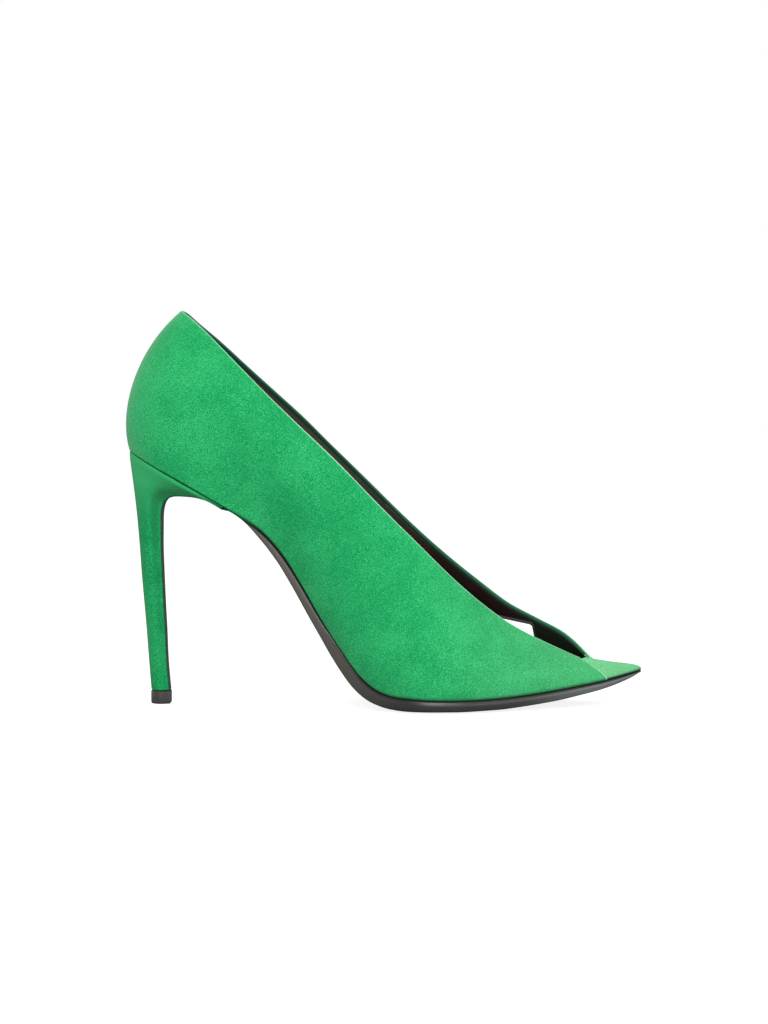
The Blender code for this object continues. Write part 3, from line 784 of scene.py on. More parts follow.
def lining_leather():
    """Thin dark lining: brown towards the heel, almost black with a green cast in the toe."""
    material, shader, start = new_material("lining_leather", 0.55, specular=0.35)
    where, along, _ = place_on_shoe(start)
    grain = noise(start, where, 1400.0, 3.0)
    brown = noise(start, where, 70.0, 2.0).ramp(0.35, 0.7).mix(*LINING_BROWN)
    colour = along.ramp(*LINING_TURNS_DARK).mix(brown, LINING_IN_TOE)
    feed(start, shader, "Base Color", colour)
    feed(start, shader, "Roughness", grain * 0.2 + 0.45)
    feed(start, shader, "Normal", bump(start, grain, 0.12, 0.4))
    return material


def sock_leather():
    """The sock on the footbed: smooth brown leather, a little polished by the foot."""
    material, shader, start = new_material("sock_leather", 0.5, specular=0.4)
    where, _, _ = place_on_shoe(start)
    pores = noise(start, where, 1800.0, 2.0)
    clouds = noise(start, where, 60.0, 3.0).ramp(0.3, 0.7)
    feed(start, shader, "Base Color", clouds.mix(*SOCK_BROWN))
    feed(start, shader, "Roughness", clouds * 0.15 + 0.4)
    feed(start, shader, "Normal", bump(start, pores, 0.1, 0.4))
    return material


def sole_leather():
    """Black finished sole leather: a waxed edge, greyer along the shank and the toe with painted
    reflection, darkened along its top under the upper with painted shade and painted in the heel
    suede's shaded green where it meets the heel, and a plainer tread with faint long grain.
    """
    material, shader, start = new_material("sole_leather", 0.4, specular=0.5)
    where, along, _ = place_on_shoe(start)
    stretched = start.node("ShaderNodeMapping", {}, {"Vector": where, "Scale": (0.12, 1.0, 0.5)})
    long_grain = noise(start, stretched, 900.0, 3.0)
    pores = noise(start, where, 1600.0, 2.0)
    below = attribute(start, "tread")
    tread = below.ramp(0.4, 0.6)
    edge = pores.ramp(0.3, 0.7).mix(*SOLE_EDGE)
    # Painted reflection greying the edge along the shank and at the toe
    edge = along.ramp(*SHANK_EDGE_REFLECTION).mix(edge, SOLE_EDGE_REFLECTION_AT_SHANK)
    edge = along.ramp(*TOE_EDGE_REFLECTION).mix(edge, SOLE_EDGE_REFLECTION_AT_TOE)
    # Painted shade along the edge's top, under the upper
    edge = below.ramp(-0.1, -0.9).mix(edge, SOLE_EDGE_SHADE_UNDER_UPPER)
    # Painted shaded suede green where the sole starts by the heel
    edge = along.ramp(*HEEL_EDGE_SHADED_SUEDE).mix(edge, SOLE_EDGE_SHADED_SUEDE_BY_HEEL)
    under = long_grain.ramp(0.3, 0.7).mix(*TREAD)
    feed(start, shader, "Base Color", tread.mix(edge, under))
    feed(start, shader, "Roughness", tread * 0.18 + pores * 0.1 + 0.32)
    feed(start, shader, "Normal", bump(start, long_grain * 0.5 + pores * 0.5, 0.08, 0.35))
    return material


def top_piece_rubber():
    """Hard black rubber of the top piece, finely scuffed."""
    material, shader, start = new_material("top_piece_rubber", 0.6, specular=0.4)
    where, _, _ = place_on_shoe(start)
    grain = noise(start, where, 2600.0, 2.0)
    feed(start, shader, "Base Color", grain.ramp(0.3, 0.7).mix(*RUBBER))
    feed(start, shader, "Normal", bump(start, grain, 0.06, 0.5))
    return material


def rim_leather():
    """The rolled inner edge of the cut-out: thin leather, paler along its top lip with a painted
    highlight where the roll catches light.
    """
    material, shader, start = new_material("rim_leather", 0.6, 0.3, specular=0.4)
    where, _, height = place_on_shoe(start)
    grain = noise(start, where, 1400.0, 3.0)
    tone = grain.ramp(0.3, 0.7)
    # Painted highlight along the top lip
    colour = height.ramp(*LIP_HIGHLIGHT_HEIGHTS).mix(tone.mix(*RIM_DARK), tone.mix(*RIM_HIGHLIGHT))
    feed(start, shader, "Base Color", colour)
    feed(start, shader, "Normal", bump(start, grain, 0.1, 0.4))
    return material


def seam_and_shade_leather():
    """What shows in the joint between upper, sole and heel: dark, unlit edges of leather, their
    darkness partly painted shade of the joint, and green painted shade by the heel.
    """
    material, shader, start = new_material("seam_and_shade_leather", 0.9, specular=0.1)
    where, along, _ = place_on_shoe(start)
    dark = noise(start, where, 900.0, 2.0).mix(*SEAM_DARK_AND_SHADE)
    feed(start, shader, "Base Color", along.ramp(*HEEL_SEAM_SHADE).mix(dark, SEAM_SHADED_GREEN_BY_HEEL))
    return material


def wing_places():
    """Places of the wings' columns from the far lap around the heel to the near lap."""
    close = np.array([0.0, 0.012, 0.03, 0.055, 0.085])
    first = LOOP_ROWS - LAP_ROW
    last = LOOP_ROWS + LAP_ROW
    plain = np.arange(first + 0.15, last - 0.12, PLACE_STEP)
    return np.concatenate([first + close, plain, last - close[::-1]])


def foot_turn(points, up):
    """How far the foot of the upper turns in, and its share of shadow from the sole below."""
    ahead = smooth(points[:, :, 0], *HEEL_TURN_ENDS)
    share = HEEL_TURN_SHARE + (1 - HEEL_TURN_SHARE) * ahead
    depth = FOOT_TURN_DEPTH * (1 - smooth(up, -FOOT_TURN * share, FOOT_TURN * share)) * share
    return depth, (1 - smooth(up, 0.1, SHADED_OVER)) ** 2 * (share - HEEL_TURN_SHARE) * 1.3


def lap_distance(at):
    """How far a place lies from the nearer end of the wings, in millimetres along the ground."""
    foot = feather(at)[0]
    steps = np.linalg.norm(np.diff(foot[:, :2], axis=0), axis=1)
    run = np.concatenate([[0.0], np.cumsum(steps)])
    return np.minimum(run, run[-1] - run)[:, None]


def make_wings(materials):
    """Both wings as one cut piece: turned over at the topline, lapping over the toe cap."""
    at = wing_places()
    points, normals = last_surface(at, rib_shares(at))
    up, down = distances(points)
    lap = lap_distance(at) + 0 * down
    edge = np.minimum(down, lap)
    turned_in, shaded = foot_turn(points, up)
    depth = rounding(edge, EDGE_RADIUS) + turned_in
    thins = smooth(down, 0.0, EDGE_THINS_OVER)
    fold = EDGE_THICKNESS + (WALL + LAP - EDGE_THICKNESS) * thins
    is_strip = (down < TURNED_STRIP + 0.05) & (lap > 1.9)
    behind = np.where(is_strip, fold - rounding(down, EDGE_RADIUS), SUEDE)
    behind = np.maximum(behind, depth + 0.15)
    outer = points - normals * depth[:, :, None]
    inner = points - normals * behind[:, :, None]
    ones = np.ones_like(edge)
    # Distance to the free edge for the painted edge highlight, the turned strip, and the painted
    # shade at the foot
    shown = {
        "rim": (edge, 9 * ones),
        "turned": (0.4 * (down < 0.1), 0.5 + 0.5 * smooth(down, -0.2, 1.1)),
        "shaded": (shaded, shaded),
    }
    return make_sheet("wings", outer, inner, False, materials, shown)


def make_toe_cap(materials):
    """The cap over the toes, which runs in under both wings."""
    at = np.concatenate([
        np.arange(LAP_ROW - 0.15, LAP_ROW, 0.05),
        np.arange(LAP_ROW, LOOP_ROWS - LAP_ROW + 0.01, 0.05),
        np.arange(LOOP_ROWS - LAP_ROW + 0.05, LOOP_ROWS - LAP_ROW + 0.16, 0.05),
    ])
    points, normals = last_surface(at, rib_shares(at))
    up, down = distances(points)
    start = LAP * (1 - cap_share(at)) + 0 * down
    turned_under, shaded = foot_turn(points, up)
    depth = start + turned_under + rounding(down, EDGE_RADIUS) * 0.5
    outer = points - normals * depth[:, :, None]
    inner = points - normals * (start + SUEDE + turned_under * 0.5)[:, :, None]
    return make_sheet("toe_cap", outer, inner, False, materials, {"shaded": (shaded, shaded)})


def make_lining(materials):
    """The lining all round the inside, a little lower than the turned edge of the wings."""
    at = np.arange(0.0, LOOP_ROWS, PLACE_STEP)
    points, normals = last_surface(at, rib_shares(at))
    up, down = distances(points)
    share = cap_share(at)
    total = WALL + LAP + (WALL_AT_TIP - WALL - LAP) * share
    thins = smooth(down, 0.0, EDGE_THINS_OVER)
    edge = np.minimum(EDGE_THICKNESS, total)
    behind = edge + (total - edge) * thins
    near_lap = np.abs(row_of(at) - LAP_ROW)[:, None] < 0.25
    front = np.where(near_lap, LAP + SUEDE + 0.05, LINING_STARTS) + 0 * down
    front = np.where(row_of(at)[:, None] > LAP_ROW, LAP * (1 - share) + SUEDE - 0.35, front)
    hidden = down < TURNED_STRIP
    behind = np.where(hidden & (row_of(at)[:, None] < LAP_ROW - 0.18), behind - 0.35, behind)
    front = np.minimum(front, behind - 0.15)
    outer = points - normals * front[:, :, None]
    inner = points - normals * behind[:, :, None]
    outer[:, -1] = outer[:, -2]
    return make_sheet("lining", outer, inner, True, materials)


def rounded_corners(corners, radius, steps):
    """A closed outline with each corner turned into an arc."""
    outline = []
    count = len(corners)
    for i in range(count):
        corner = np.array(corners[i])
        before = np.array(corners[i - 1]) - corner
        after = np.array(corners[(i + 1) % count]) - corner
        before /= np.linalg.norm(before)
        after /= np.linalg.norm(after)
        half = math.acos(float(before @ after)) / 2
        reach = radius / math.tan(half)
        middle = before + after
        centre = corner + middle / np.linalg.norm(middle) * radius / math.sin(half)
        first = corner + before * reach - centre
        second = corner + after * reach - centre
        sweep = math.acos(float(first @ second) / radius**2)
        for step in range(steps + 1):
            share = step / steps
            mix = math.sin((1 - share) * sweep) * first + math.sin(share * sweep) * second
            outline.append(centre + mix / math.sin(sweep))
    return np.array(outline)


def even_outline(outline, spacing):
    """The same closed outline with points at even distances."""
    closed = np.vstack([outline, outline[:1]])
    run = np.concatenate([[0.0], np.cumsum(np.linalg.norm(np.diff(closed, axis=0), axis=1))])
    at = np.linspace(0.0, run[-1], int(run[-1] / spacing), endpoint=False)
    return np.column_stack([np.interp(at, run, closed[:, k]) for k in range(2)])


def surface_tree(obj):
    mesh = obj.data
    points = [v.co.copy() for v in mesh.vertices]
    return BVHTree.FromPolygons(points, [tuple(p.vertices) for p in mesh.polygons])


def make_cut_out_rim(wings, lining, materials):
    """The turned edge of the cut-out: suede outside, lining leather rolled over inside."""
    outline = even_outline(rounded_corners(CUT_OUT, CUT_OUT_RADIUS, CORNER_STEPS), RIM_SPACING)
    outside, inside = surface_tree(wings), surface_tree(lining)
    near, far = CUT_OUT_FELT_FROM
    outer, inner = [], []
    for x, z in outline:
        hit = outside.ray_cast(Vector((x, far, z)) * MM, Vector((0, -1, 0)))[0]
        outer.append(np.array(hit) / MM)
        hit = inside.ray_cast(Vector((x, near, z)) * MM, Vector((0, 1, 0)))[0]
        inner.append(np.array(hit) / MM)
    outer, inner = np.array(outer), np.array(inner)
    middle = (outer + inner) / 2
    wall = outer - inner
    half = np.linalg.norm(wall, axis=1)[:, None] / 2
    wall /= 2 * half
    along = np.roll(middle, -1, axis=0) - np.roll(middle, 1, axis=0)
    away = np.cross(along, wall)
    away /= np.linalg.norm(away, axis=1)[:, None]
    centre = middle.mean(axis=0)
    if np.mean(np.sum(away * (middle - centre), axis=1)) < 0:
        away = -away
    low, high = outline[:, 0].min(), outline[:, 0].max()
    lip = (high - middle[:, 0]) / (high - low) * np.clip(away[:, 2], 0.0, 1.0)
    rings = []
    for reach, proud, side in RIM_SECTION:
        shift = reach - LIP_DROPS * lip
        if side < 0 and reach > 0:
            shift = shift + reach * (LIP_WIDENS * lip - LIP_NARROWS)
        shift = shift[:, None]
        rings.append(middle + away * shift + wall * side * (half + proud))
    grid = np.stack(rings, axis=1)
    columns, rows = grid.shape[:2]
    faces = quads(columns, rows, True)
    i = np.arange(columns)
    k = (i + 1) % columns
    closing = np.stack([i * rows, k * rows, k * rows + rows - 1, i * rows + rows - 1], axis=1)
    on_outside = sum(side > 0 for _, _, side in RIM_SECTION)
    tint = np.tile([0 if row < on_outside - 1 else 1 for row in range(rows - 1)], columns)
    tint = np.concatenate([tint, np.ones(columns, dtype=int)])
    none = np.zeros(columns * rows)
    plain = {"rim": none + 9.0, "turned": none, "shaded": none}
    faces = np.concatenate([faces, closing]).tolist()
    return make_mesh("cut_out_rim", grid, faces, materials, plain, tint)


def cut_window(pieces):
    """Opens the medial side through suede and lining."""
    outline = rounded_corners(CUT_OUT, CUT_OUT_RADIUS, CORNER_STEPS)
    rings = []
    for depth in CUT_OUT_DEPTH:
        rings.append([(x, depth, z) for x, z in outline])
    cutter = make_loft("cut_out_cutter", rings, [])
    for piece in pieces:
        cut = piece.modifiers.new("cut_out", "BOOLEAN")
        cut.operation = "DIFFERENCE"
        cut.solver = "EXACT"
        cut.object = cutter
        bake(piece)
    bpy.data.objects.remove(cutter, do_unlink=True)


def bake(piece):
    """Turns what a piece's modifiers make into its plain mesh."""
    graph = bpy.context.evaluated_depsgraph_get()
    made = bpy.data.meshes.new_from_object(piece.evaluated_get(graph))
    piece.modifiers.clear()
    piece.data = made


def place_at_x(x, near_side):
    """Where around the shoe the feather line reaches x, found by halving."""
    low = np.full(len(x), SEAT_START)
    high = np.full(len(x), TIP_ROW - 0.02)
    for _ in range(HALVINGS):
        middle = (low + high) / 2
        at = middle if near_side else LOOP_ROWS - middle
        ahead = on_loop(NEAR_FEET, FAR_FEET, at)[:, 0] > x
        high = np.where(ahead, middle, high)
        low = np.where(ahead, low, middle)
    middle = (low + high) / 2
    return middle if near_side else LOOP_ROWS - middle


def make_sock(materials):
    """The footbed with its leather sock: rounded at its edges and a little dished."""
    places = np.concatenate([[0.25, 0.4, 0.6, 0.8], np.arange(1.0, SOCK_END, 0.1), [SOCK_END]])
    thinning = np.clip((places - SOCK_THINS_FROM) / (SOCK_END - SOCK_THINS_FROM), 0.0, 1.0)
    inset = (WALL + LAP + GAP + thinning)[:, None]
    near, near_out = feather(places)
    far, far_out = feather(LOOP_ROWS - places)
    near, far = near - near_out * inset, far - far_out * inset
    thickness = SOCK_THICKNESS + (SOCK_THICKNESS_AT_TOE - SOCK_THICKNESS) * thinning
    share = (1 - np.cos(np.linspace(0.0, math.pi, SOCK_ACROSS + 1))) / 2
    rings = []
    for a, b, thick in zip(near, far, thickness):
        across = a + (b - a) * share[:, None]
        width = np.linalg.norm(b - a)
        from_edge = np.minimum(share, 1 - share) * width
        under = np.column_stack([across[:, :2], bottom_z(across[:, 0])])
        dish = SOCK_DISH * smooth(from_edge, 1.0, 12.0)
        rise = thick - rounding(from_edge, SOCK_EDGE_RADIUS) - dish
        top = under + np.array([0.0, 0.0, 1.0]) * rise[:, None]
        top[0, 2] = max(top[0, 2], under[0, 2] + 0.3)
        top[-1, 2] = max(top[-1, 2], under[-1, 2] + 0.3)
        rings.append(np.concatenate([under, top[::-1]]))
    return make_loft("sock", rings, materials)


def make_lasting_margin(materials):
    """The foot of the upper turned in under the sock, which closes the joint with the sole."""
    places = np.concatenate([[0.25, 0.5], np.arange(1.0, MARGIN_END, 0.1)])
    near, near_out = feather(places)
    far, far_out = feather(LOOP_ROWS - places)
    near, far = near - near_out * MARGIN_INSET, far - far_out * MARGIN_INSET
    rings = []
    for a, b in zip(near, far):
        across = a + (b - a) * np.linspace(0.0, 1.0, 5)[:, None]
        across[:, 2] = bottom_z(across[:, 0]) - GAP / 2
        thickness = np.array([0.0, 0.0, GAP / 3])
        rings.append(np.concatenate([across - thickness, across[::-1] + thickness]))
    return make_loft("lasting_margin", rings, materials)


def sole_section(top_near, top_far, low_near, low_far, lift):
    """One section of the sole, with 1 for points on the tread and -1 under the upper, where the
    edge's top takes painted shade.
    """
    across = low_far - low_near
    width = np.linalg.norm(across)
    inward = across / width
    thickness = np.linalg.norm(top_near - low_near)
    radius = min(SOLE_EDGE_RADIUS, 0.2 * width, 0.38 * thickness)
    bevel = min(SOLE_BEVEL, 0.2 * thickness)
    tread = min(TREAD_RIM, 0.3 * width)
    raised = np.array([0.0, 0.0, lift])
    half = []
    for top, low, inside in ((top_near, low_near, inward), (top_far, low_far, -inward)):
        edge = low + raised
        up = (top - edge) / np.linalg.norm(top - edge)
        centre = edge + inside * radius + up * radius
        # Negative marks give the painted shade along the edge's top
        side = [
            (top + inside * min(4.0, 0.35 * width), -1),
            (top + inside * bevel, -1),
            (top + inside * bevel * 0.3 - up * bevel * 0.3, -1),
            (top - up * bevel, -0.9),
            (top * 0.72 + edge * 0.28 - inside * EDGE_BULGE * 0.8, -0.1),
            ((top + edge) / 2 - inside * EDGE_BULGE, 0),
        ]
        for angle in np.radians([0, 22, 45, 68, 90]):
            turn = -inside * math.cos(angle) - up * math.sin(angle)
            side.append((centre + turn * radius, 1 if angle > 1 else 0))
        side.append((edge + inside * (radius + (tread - radius) * 0.45) - raised * 0.4, 1))
        side.append((low + inside * tread, 1))
        half.append(side)
    near, far = half
    middle_top = [((top_near + top_far) / 2, -1)]
    middle_low = [((low_near + low_far) / 2, 1)]
    section = middle_top + far + middle_low + near[::-1]
    return [p for p, _ in section], [m for _, m in section]


def sole_edge(x, tread_z, overhang, near_side):
    """Top and lower edge points of the sole at the places x, square to the last's underside."""
    foot, out = feather(place_at_x(x, near_side))
    edge = foot + out * overhang[:, None]
    slope = bottom_z(x + 0.5) - bottom_z(x - 0.5)
    thickness = bottom_z(x) - GAP - tread_z
    top_x = x + SOLE_LEAN * slope * thickness / (1.0 + slope**2)
    top = np.stack([top_x, edge[:, 1], bottom_z(top_x) - GAP], axis=1)
    low = np.stack([x, edge[:, 1], tread_z], axis=1)
    return top, low


def breast_line(rows):
    """The heel's front line and the direction square to it, away from the heel."""
    line = np.stack([HEEL["front_x"], HEEL["front_z"]], axis=1)
    along = spline(line, np.maximum(rows - 0.25, 1.0))
    along -= spline(line, np.minimum(rows + 0.25, HEEL_ROWS[-1]))
    along /= np.linalg.norm(along, axis=1)[:, None]
    return spline(line, rows), np.stack([along[:, 1], -along[:, 0]], axis=1)


def heel_values(rows):
    """The heel's named measures at fractional row numbers, with its cover on the breast."""
    values = dict(zip(HEEL, spline(np.stack(list(HEEL.values()), axis=1), rows).T))
    front, away = breast_line(rows)
    front = front + away * (COVER * np.minimum(rows, 1.0))[:, None]
    values["front_x"], values["front_z"] = front.T
    return values


def flap_sections():
    """Sections of the flap from the top piece up to the front of the heel's wing."""
    rows = HEEL_ROWS[:0:-1]
    front, away = breast_line(rows)
    top = front + away * (COVER - 0.1)
    low = front + away * (GAP + FLAP)
    sections = []
    for i, half in enumerate(heel_values(rows)["breast"]):
        corners = []
        for point in (top[i], low[i]):
            for side in (-half, half):
                corners.append(np.array([point[0], side, point[1]]))
        sections.append(sole_section(*corners, 0.0))
    return sections


def make_outsole(materials):
    """The leather sole with its waxed edge, and its flap down the breast of the heel."""
    rows = np.arange(0.0, len(SOLE["x"]) - 0.95, 0.1)
    x, tread_z, lift, overhang = spline(np.stack(list(SOLE.values()), axis=1), rows).T
    tread_z = np.maximum(tread_z, 0.0) + SHAVED * (1 - smooth(x, *SHAVED_UNTIL))
    near = sole_edge(x, tread_z, overhang, True)
    far = sole_edge(x, tread_z, overhang, False)
    sections = flap_sections()
    for i in range(len(x)):
        sections.append(sole_section(near[0][i], far[0][i], near[1][i], far[1][i], lift[i]))
    rings = [section[0] for section in sections]
    tread = [section[1] for section in sections]
    return make_loft("sole", rings, materials, {"tread": tread})


def seat_half_widths(x, near_side, most):
    """Half widths of the seat at the places x, a little inside the feather line."""
    rear = FEATHER["near_x"][0]
    edge = feather(place_at_x(np.maximum(x, rear + SEAT_INSET), near_side))[0][:, 1]
    halves = (np.abs(edge) - SEAT_INSET) * min(1.0, most / SEAT_HALF_WIDTH)
    halves[0] = 0.0
    return halves


def heel_ring(row):
    """A section of the heel: round at the back, with a flat breast at the front."""
    values = {name: value[0] for name, value in heel_values(np.array([row])).items()}
    back = np.array([values["back_x"], values["back_z"]])
    front = np.array([values["front_x"], values["front_z"]])
    angles = np.arange(HEEL_SIDE_STEPS + 1) / HEEL_SIDE_STEPS * math.pi / 2
    forward = 1 - np.cos(angles)
    spine = back + (front - back) * forward[:, None]
    to_widest = 1 - np.minimum(forward / WIDEST_AT, 1.0)
    to_breast = np.clip((forward - WIDEST_AT) / (1 - WIDEST_AT), 0.0, 1.0)
    to_breast = to_breast**2 * (3 - 2 * to_breast)
    stem = values["half_width"] * np.sqrt(1 - to_widest**2) * (1 - to_breast)
    stem += values["breast"] * to_breast
    sides = []
    for near_side in (True, False):
        seat = seat_half_widths(spine[:, 0], near_side, values["half_width"])
        sides.append(stem + (seat - stem) * values["seat"])
    ring = [(x, -half, z) for (x, z), half in zip(spine, sides[0])]
    ring.append((front[0], 0.0, front[1]))
    ring += [(x, half, z) for (x, z), half in zip(spine, sides[1])][:0:-1]
    return np.array(ring)


def shrunk(ring, by):
    """A ring drawn in towards its middle in plan."""
    away = ring - ring.mean(axis=0)
    away[:, 2] = 0.0
    length = np.linalg.norm(away, axis=1)[:, None]
    return ring - away / np.maximum(length, 0.01) * by


def make_heel(materials):
    """The suede-covered heel; its upper and lower edges are softly turned in."""
    rings = [heel_ring(row) for row in HEEL_ROWS]
    first, last = rings[0], rings[-1]
    rings[0] = shrunk(first, 0.25)
    rings.insert(1, shrunk(first, 0.05) - np.array([0.0, 0.0, 0.2]))
    rings[-1] = last + np.array([0.0, 0.0, 0.35])
    rings.append(shrunk(last, 0.12) + np.array([0.0, 0.0, 0.1]))
    rings.append(shrunk(last, 0.35))
    shaded = [WING_SHADE * smooth(ring[:, 0], *WING_SHADE_RUN) for ring in rings]
    return make_loft("heel_cover", rings, materials, {"shaded": shaded})


def make_top_piece(materials):
    """The rubber block under the heel, with its lower edge worn round."""
    outline = heel_ring(HEEL_ROWS[-1])[:, :2]
    breast = outline[:, 0] > HEEL["front_x"][-1] + COVER - GAP
    outline[breast, 0] += GAP + FLAP - COVER
    away = outline - outline.mean(axis=0)
    away /= np.linalg.norm(away, axis=1)[:, None]
    rings = []
    for z, growth in TOP_PIECE_OUTLINES:
        ring = outline + away * growth
        rings.append(np.column_stack([ring, np.full(len(ring), z)]))
    return make_loft("heel_tip", rings, materials)


def path_object(name, points, closed):
    """A bare line of edges for a cord to follow."""
    mesh = bpy.data.meshes.new(name)
    edges = [(i, i + 1) for i in range(len(points) - 1)]
    if closed:
        edges.append((len(points) - 1, 0))
    mesh.from_pydata((np.asarray(points) * MM).tolist(), edges, [])
    obj = bpy.data.objects.new(name, mesh)
    bpy.context.scene.collection.objects.link(obj)
    return obj


def cord_tree():
    """Geometry nodes that lay a round cord along a line of edges."""
    tree = bpy.data.node_groups.new("cord_along_line", "GeometryNodeTree")
    face = tree.interface
    face.new_socket("Line", in_out="INPUT", socket_type="NodeSocketGeometry")
    radius = face.new_socket("Cord radius", in_out="INPUT", socket_type="NodeSocketFloat")
    sides = face.new_socket("Cord sides", in_out="INPUT", socket_type="NodeSocketInt")
    finish = face.new_socket("Cord finish", in_out="INPUT", socket_type="NodeSocketMaterial")
    face.new_socket("Cord", in_out="OUTPUT", socket_type="NodeSocketGeometry")
    add = tree.nodes.new
    source, out = add("NodeGroupInput"), add("NodeGroupOutput")
    line, sweep = add("GeometryNodeMeshToCurve"), add("GeometryNodeCurveToMesh")
    round_section = add("GeometryNodeCurvePrimitiveCircle")
    soft, realize = add("GeometryNodeSetShadeSmooth"), add("GeometryNodeRealizeInstances")
    paint = add("GeometryNodeSetMaterial")
    link = tree.links.new
    link(source.outputs["Line"], line.inputs["Mesh"])
    link(source.outputs["Cord sides"], round_section.inputs["Resolution"])
    link(source.outputs["Cord radius"], round_section.inputs["Radius"])
    link(line.outputs["Curve"], sweep.inputs["Curve"])
    link(round_section.outputs["Curve"], sweep.inputs["Profile Curve"])
    sweep.inputs["Fill Caps"].default_value = True
    link(sweep.outputs["Mesh"], soft.inputs["Geometry"])
    link(soft.outputs["Geometry"], realize.inputs["Geometry"])
    link(realize.outputs["Geometry"], paint.inputs["Geometry"])
    link(source.outputs["Cord finish"], paint.inputs["Material"])
    link(paint.outputs["Geometry"], out.inputs["Cord"])
    return tree, {"radius": radius.identifier, "sides": sides.identifier,
                  "finish": finish.identifier}


def lay_cord(tree, sockets, name, measures, closed, finish):
    """A cord inside the foot of the upper, as a plain mesh: all round the shoe where it is
    closed, and otherwise as far forward as the sock goes.
    """
    inset, height, radius = measures
    if closed:
        at = np.arange(0.0, LOOP_ROWS, PLACE_STEP)
    else:
        at = np.arange(LOOP_ROWS - SOCK_END + 0.5, LOOP_ROWS + SOCK_END - 0.5, PLACE_STEP)
    foot, out = feather(at)
    line = foot - out * inset
    line[:, 2] = bottom_z(line[:, 0]) + height
    obj = path_object(name, line, closed)
    cord = obj.modifiers.new("cord", "NODES")
    cord.node_group = tree
    cord[sockets["radius"]] = radius * MM
    cord[sockets["sides"]] = CORD_SIDES
    cord[sockets["finish"]] = finish
    bake(obj)
    if not obj.data.materials:
        obj.data.materials.append(finish)
    return obj


def build():
    """All pieces, each on its body, with the solids that they replace hidden."""
    # The pairs of shares are the painted sheen at the ball and at the toe
    green = suede("quarter_suede", 1.0, 0.25, (0.02, 0.22), edges=True)
    cap_green = suede("toe_cap_suede", 0.96, 0.35, (0.0, 0.68))
    # The heel's suede is a darker copy with less sheen: painted shade below the upper
    heel_green = suede("heel_suede", 0.84, 0.08, painted_light_at_heel_top=0.9)
    lining_finish = lining_leather()
    seam_and_shade_finish = seam_and_shade_leather()
    wings = make_wings([green])
    lining = make_lining([lining_finish])
    rim = make_cut_out_rim(wings, lining, [green, rim_leather()])
    cut_window([wings, lining])
    for piece in (wings, lining):
        piece.data.set_sharp_from_angle(angle=math.radians(50))
    cap = make_toe_cap([cap_green])
    tree, sockets = cord_tree()
    # The feather seam is a dark cord that also stands in for the shade in the joint
    seam = lay_cord(tree, sockets, "feather_seam", FEATHER_SEAM, True, seam_and_shade_finish)
    welt = lay_cord(tree, sockets, "sock_seam", SOCK_SEAM, False, lining_finish)
    bead = lay_cord(tree, sockets, "lasting_bead", LASTING_BEAD, False, seam_and_shade_finish)
    margin = make_lasting_margin([seam_and_shade_finish])
    sock = make_sock([sock_leather()])
    sole = make_outsole([sole_leather()])
    heel = make_heel([heel_green])
    tip = make_top_piece([top_piece_rubber()])
    for piece in (sock, sole, heel, tip):
        piece.data.set_sharp_from_angle(angle=math.radians(50))
    for piece, slot in (
        (wings, "upper_suede"),
        (cap, "upper_suede"),
        (rim, "upper_suede"),
        (lining, "insole_leather"),
        (seam, "sole_leather"),
        (welt, "insole_leather"),
        (margin, "sole_leather"),
        (bead, "sole_leather"),
        (sock, "insole_leather"),
        (sole, "sole_leather"),
        (heel, "heel_suede"),
        (tip, "top_piece_rubber"),
    ):
        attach(piece, "root")
    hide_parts("upper")
    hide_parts("insole")
    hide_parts("outsole")
    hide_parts("heel")
    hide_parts("top_piece")


# Soft lights: name, size, power, place and what each is turned to
LIGHTS = (
    ("key", (1.2, 0.8), 23.0, (0.05, -1.55, 0.75), (0.0, 0.0, 0.06)),
    ("fill", (0.6, 0.5), 3.0, (1.0, -0.9, 0.15), (-0.04, 0.0, 0.07)),
    ("rim", (0.5, 0.9), 6.0, (-1.3, 0.45, 0.3), (-0.08, 0.0, 0.1)),
    ("overhead", (1.5, 1.5), 13.0, (0.3, -0.1, 1.6), (0.0, 0.0, 0.0)),
)
FLOOR_HALF = 1.4
FLOOR_GREY = (0.32, 0.32, 0.32, 1.0)
FLOOR_GLOW = 0.86
BLACK, WHITE = (0.0, 0.0, 0.0, 1.0), (1.0, 1.0, 1.0, 1.0)

# The world is fully white where the camera sees it and dimmer as a light on the shoe
WORLD_LIGHT = 0.38

CAMERA_AZIMUTH = 2.0
CAMERA_ELEVATION = 4.0
CAMERA_DISTANCE = 1.6
CAMERA_TARGET = (0.0, 0.0, 0.081)
PICTURE_HEIGHT = 0.42 * MM * 1024
SENSOR = 36.0


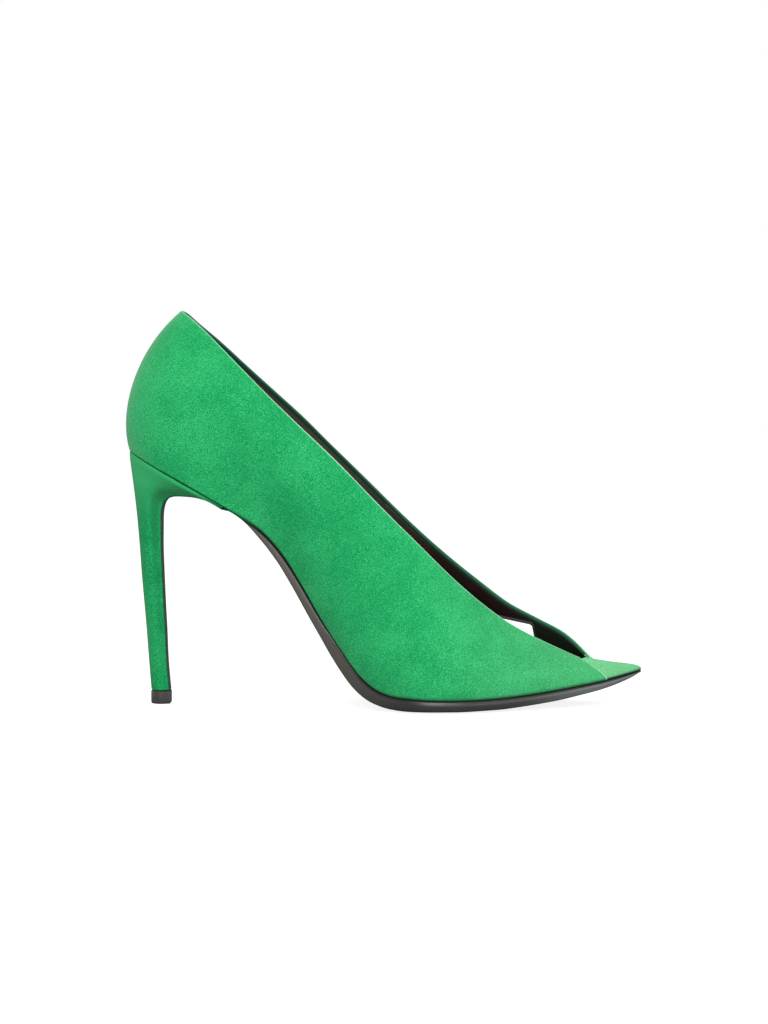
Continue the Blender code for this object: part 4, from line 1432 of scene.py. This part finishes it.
def area_light(name, size, power, place, target):
    lamp = bpy.data.lights.new(name, "AREA")
    lamp.shape = "RECTANGLE"
    lamp.size, lamp.size_y = size
    lamp.energy = power
    obj = bpy.data.objects.new(name, lamp)
    obj.location = place
    obj.rotation_mode = "QUATERNION"
    toward = Vector(target) - Vector(place)
    obj.rotation_quaternion = toward.to_track_quat("-Z", "Y")
    bpy.context.scene.collection.objects.link(obj)


def studio():
    """A pale floor under soft light, with white all round."""
    scene = bpy.context.scene
    scene.view_settings.view_transform = "Standard"
    floor_mesh = bpy.data.meshes.new("floor")
    half = FLOOR_HALF
    corners = [(-half, -half, 0), (half, -half, 0), (half, half, 0), (-half, half, 0)]
    floor_mesh.from_pydata(corners, [], [(0, 1, 2, 3)])
    floor = bpy.data.objects.new("floor", floor_mesh)
    scene.collection.objects.link(floor)
    material, shader, start = new_material("floor_paper", 0.9, specular=0.1)
    seen = start.node("ShaderNodeLightPath")
    feed(start, shader, "Emission Color", seen.mix(BLACK, WHITE))
    shader.inputs["Emission Strength"].default_value = FLOOR_GLOW
    shader.inputs["Base Color"].default_value = FLOOR_GREY
    floor_mesh.materials.append(material)
    world = bpy.data.worlds.new("studio_white")
    scene.world = world
    world.use_nodes = True
    background = world.node_tree.nodes["Background"]
    background.inputs["Color"].default_value = WHITE
    sky = Signal(world.node_tree)
    seen = sky.node("ShaderNodeLightPath")
    feed(sky, background, "Strength", seen * (1.0 - WORLD_LIGHT) + WORLD_LIGHT)
    for light in LIGHTS:
        area_light(*light)


def photo_camera():
    """The camera where the photograph's was: a little round the toe side and a little above."""
    azimuth, elevation = math.radians(CAMERA_AZIMUTH), math.radians(CAMERA_ELEVATION)
    back = Vector((
        math.sin(azimuth) * math.cos(elevation),
        -math.cos(azimuth) * math.cos(elevation),
        math.sin(elevation),
    ))
    camera = bpy.data.cameras.new("camera")
    camera.sensor_width = SENSOR
    camera.lens = SENSOR * CAMERA_DISTANCE / PICTURE_HEIGHT
    camera.clip_start, camera.clip_end = 0.05, 20.0
    obj = bpy.data.objects.new("camera", camera)
    obj.location = Vector(CAMERA_TARGET) + back * CAMERA_DISTANCE
    obj.rotation_mode = "QUATERNION"
    obj.rotation_quaternion = (-back).to_track_quat("-Z", "Y")
    bpy.context.scene.collection.objects.link(obj)
    bpy.context.scene.camera = obj


build()
studio()
photo_camera()
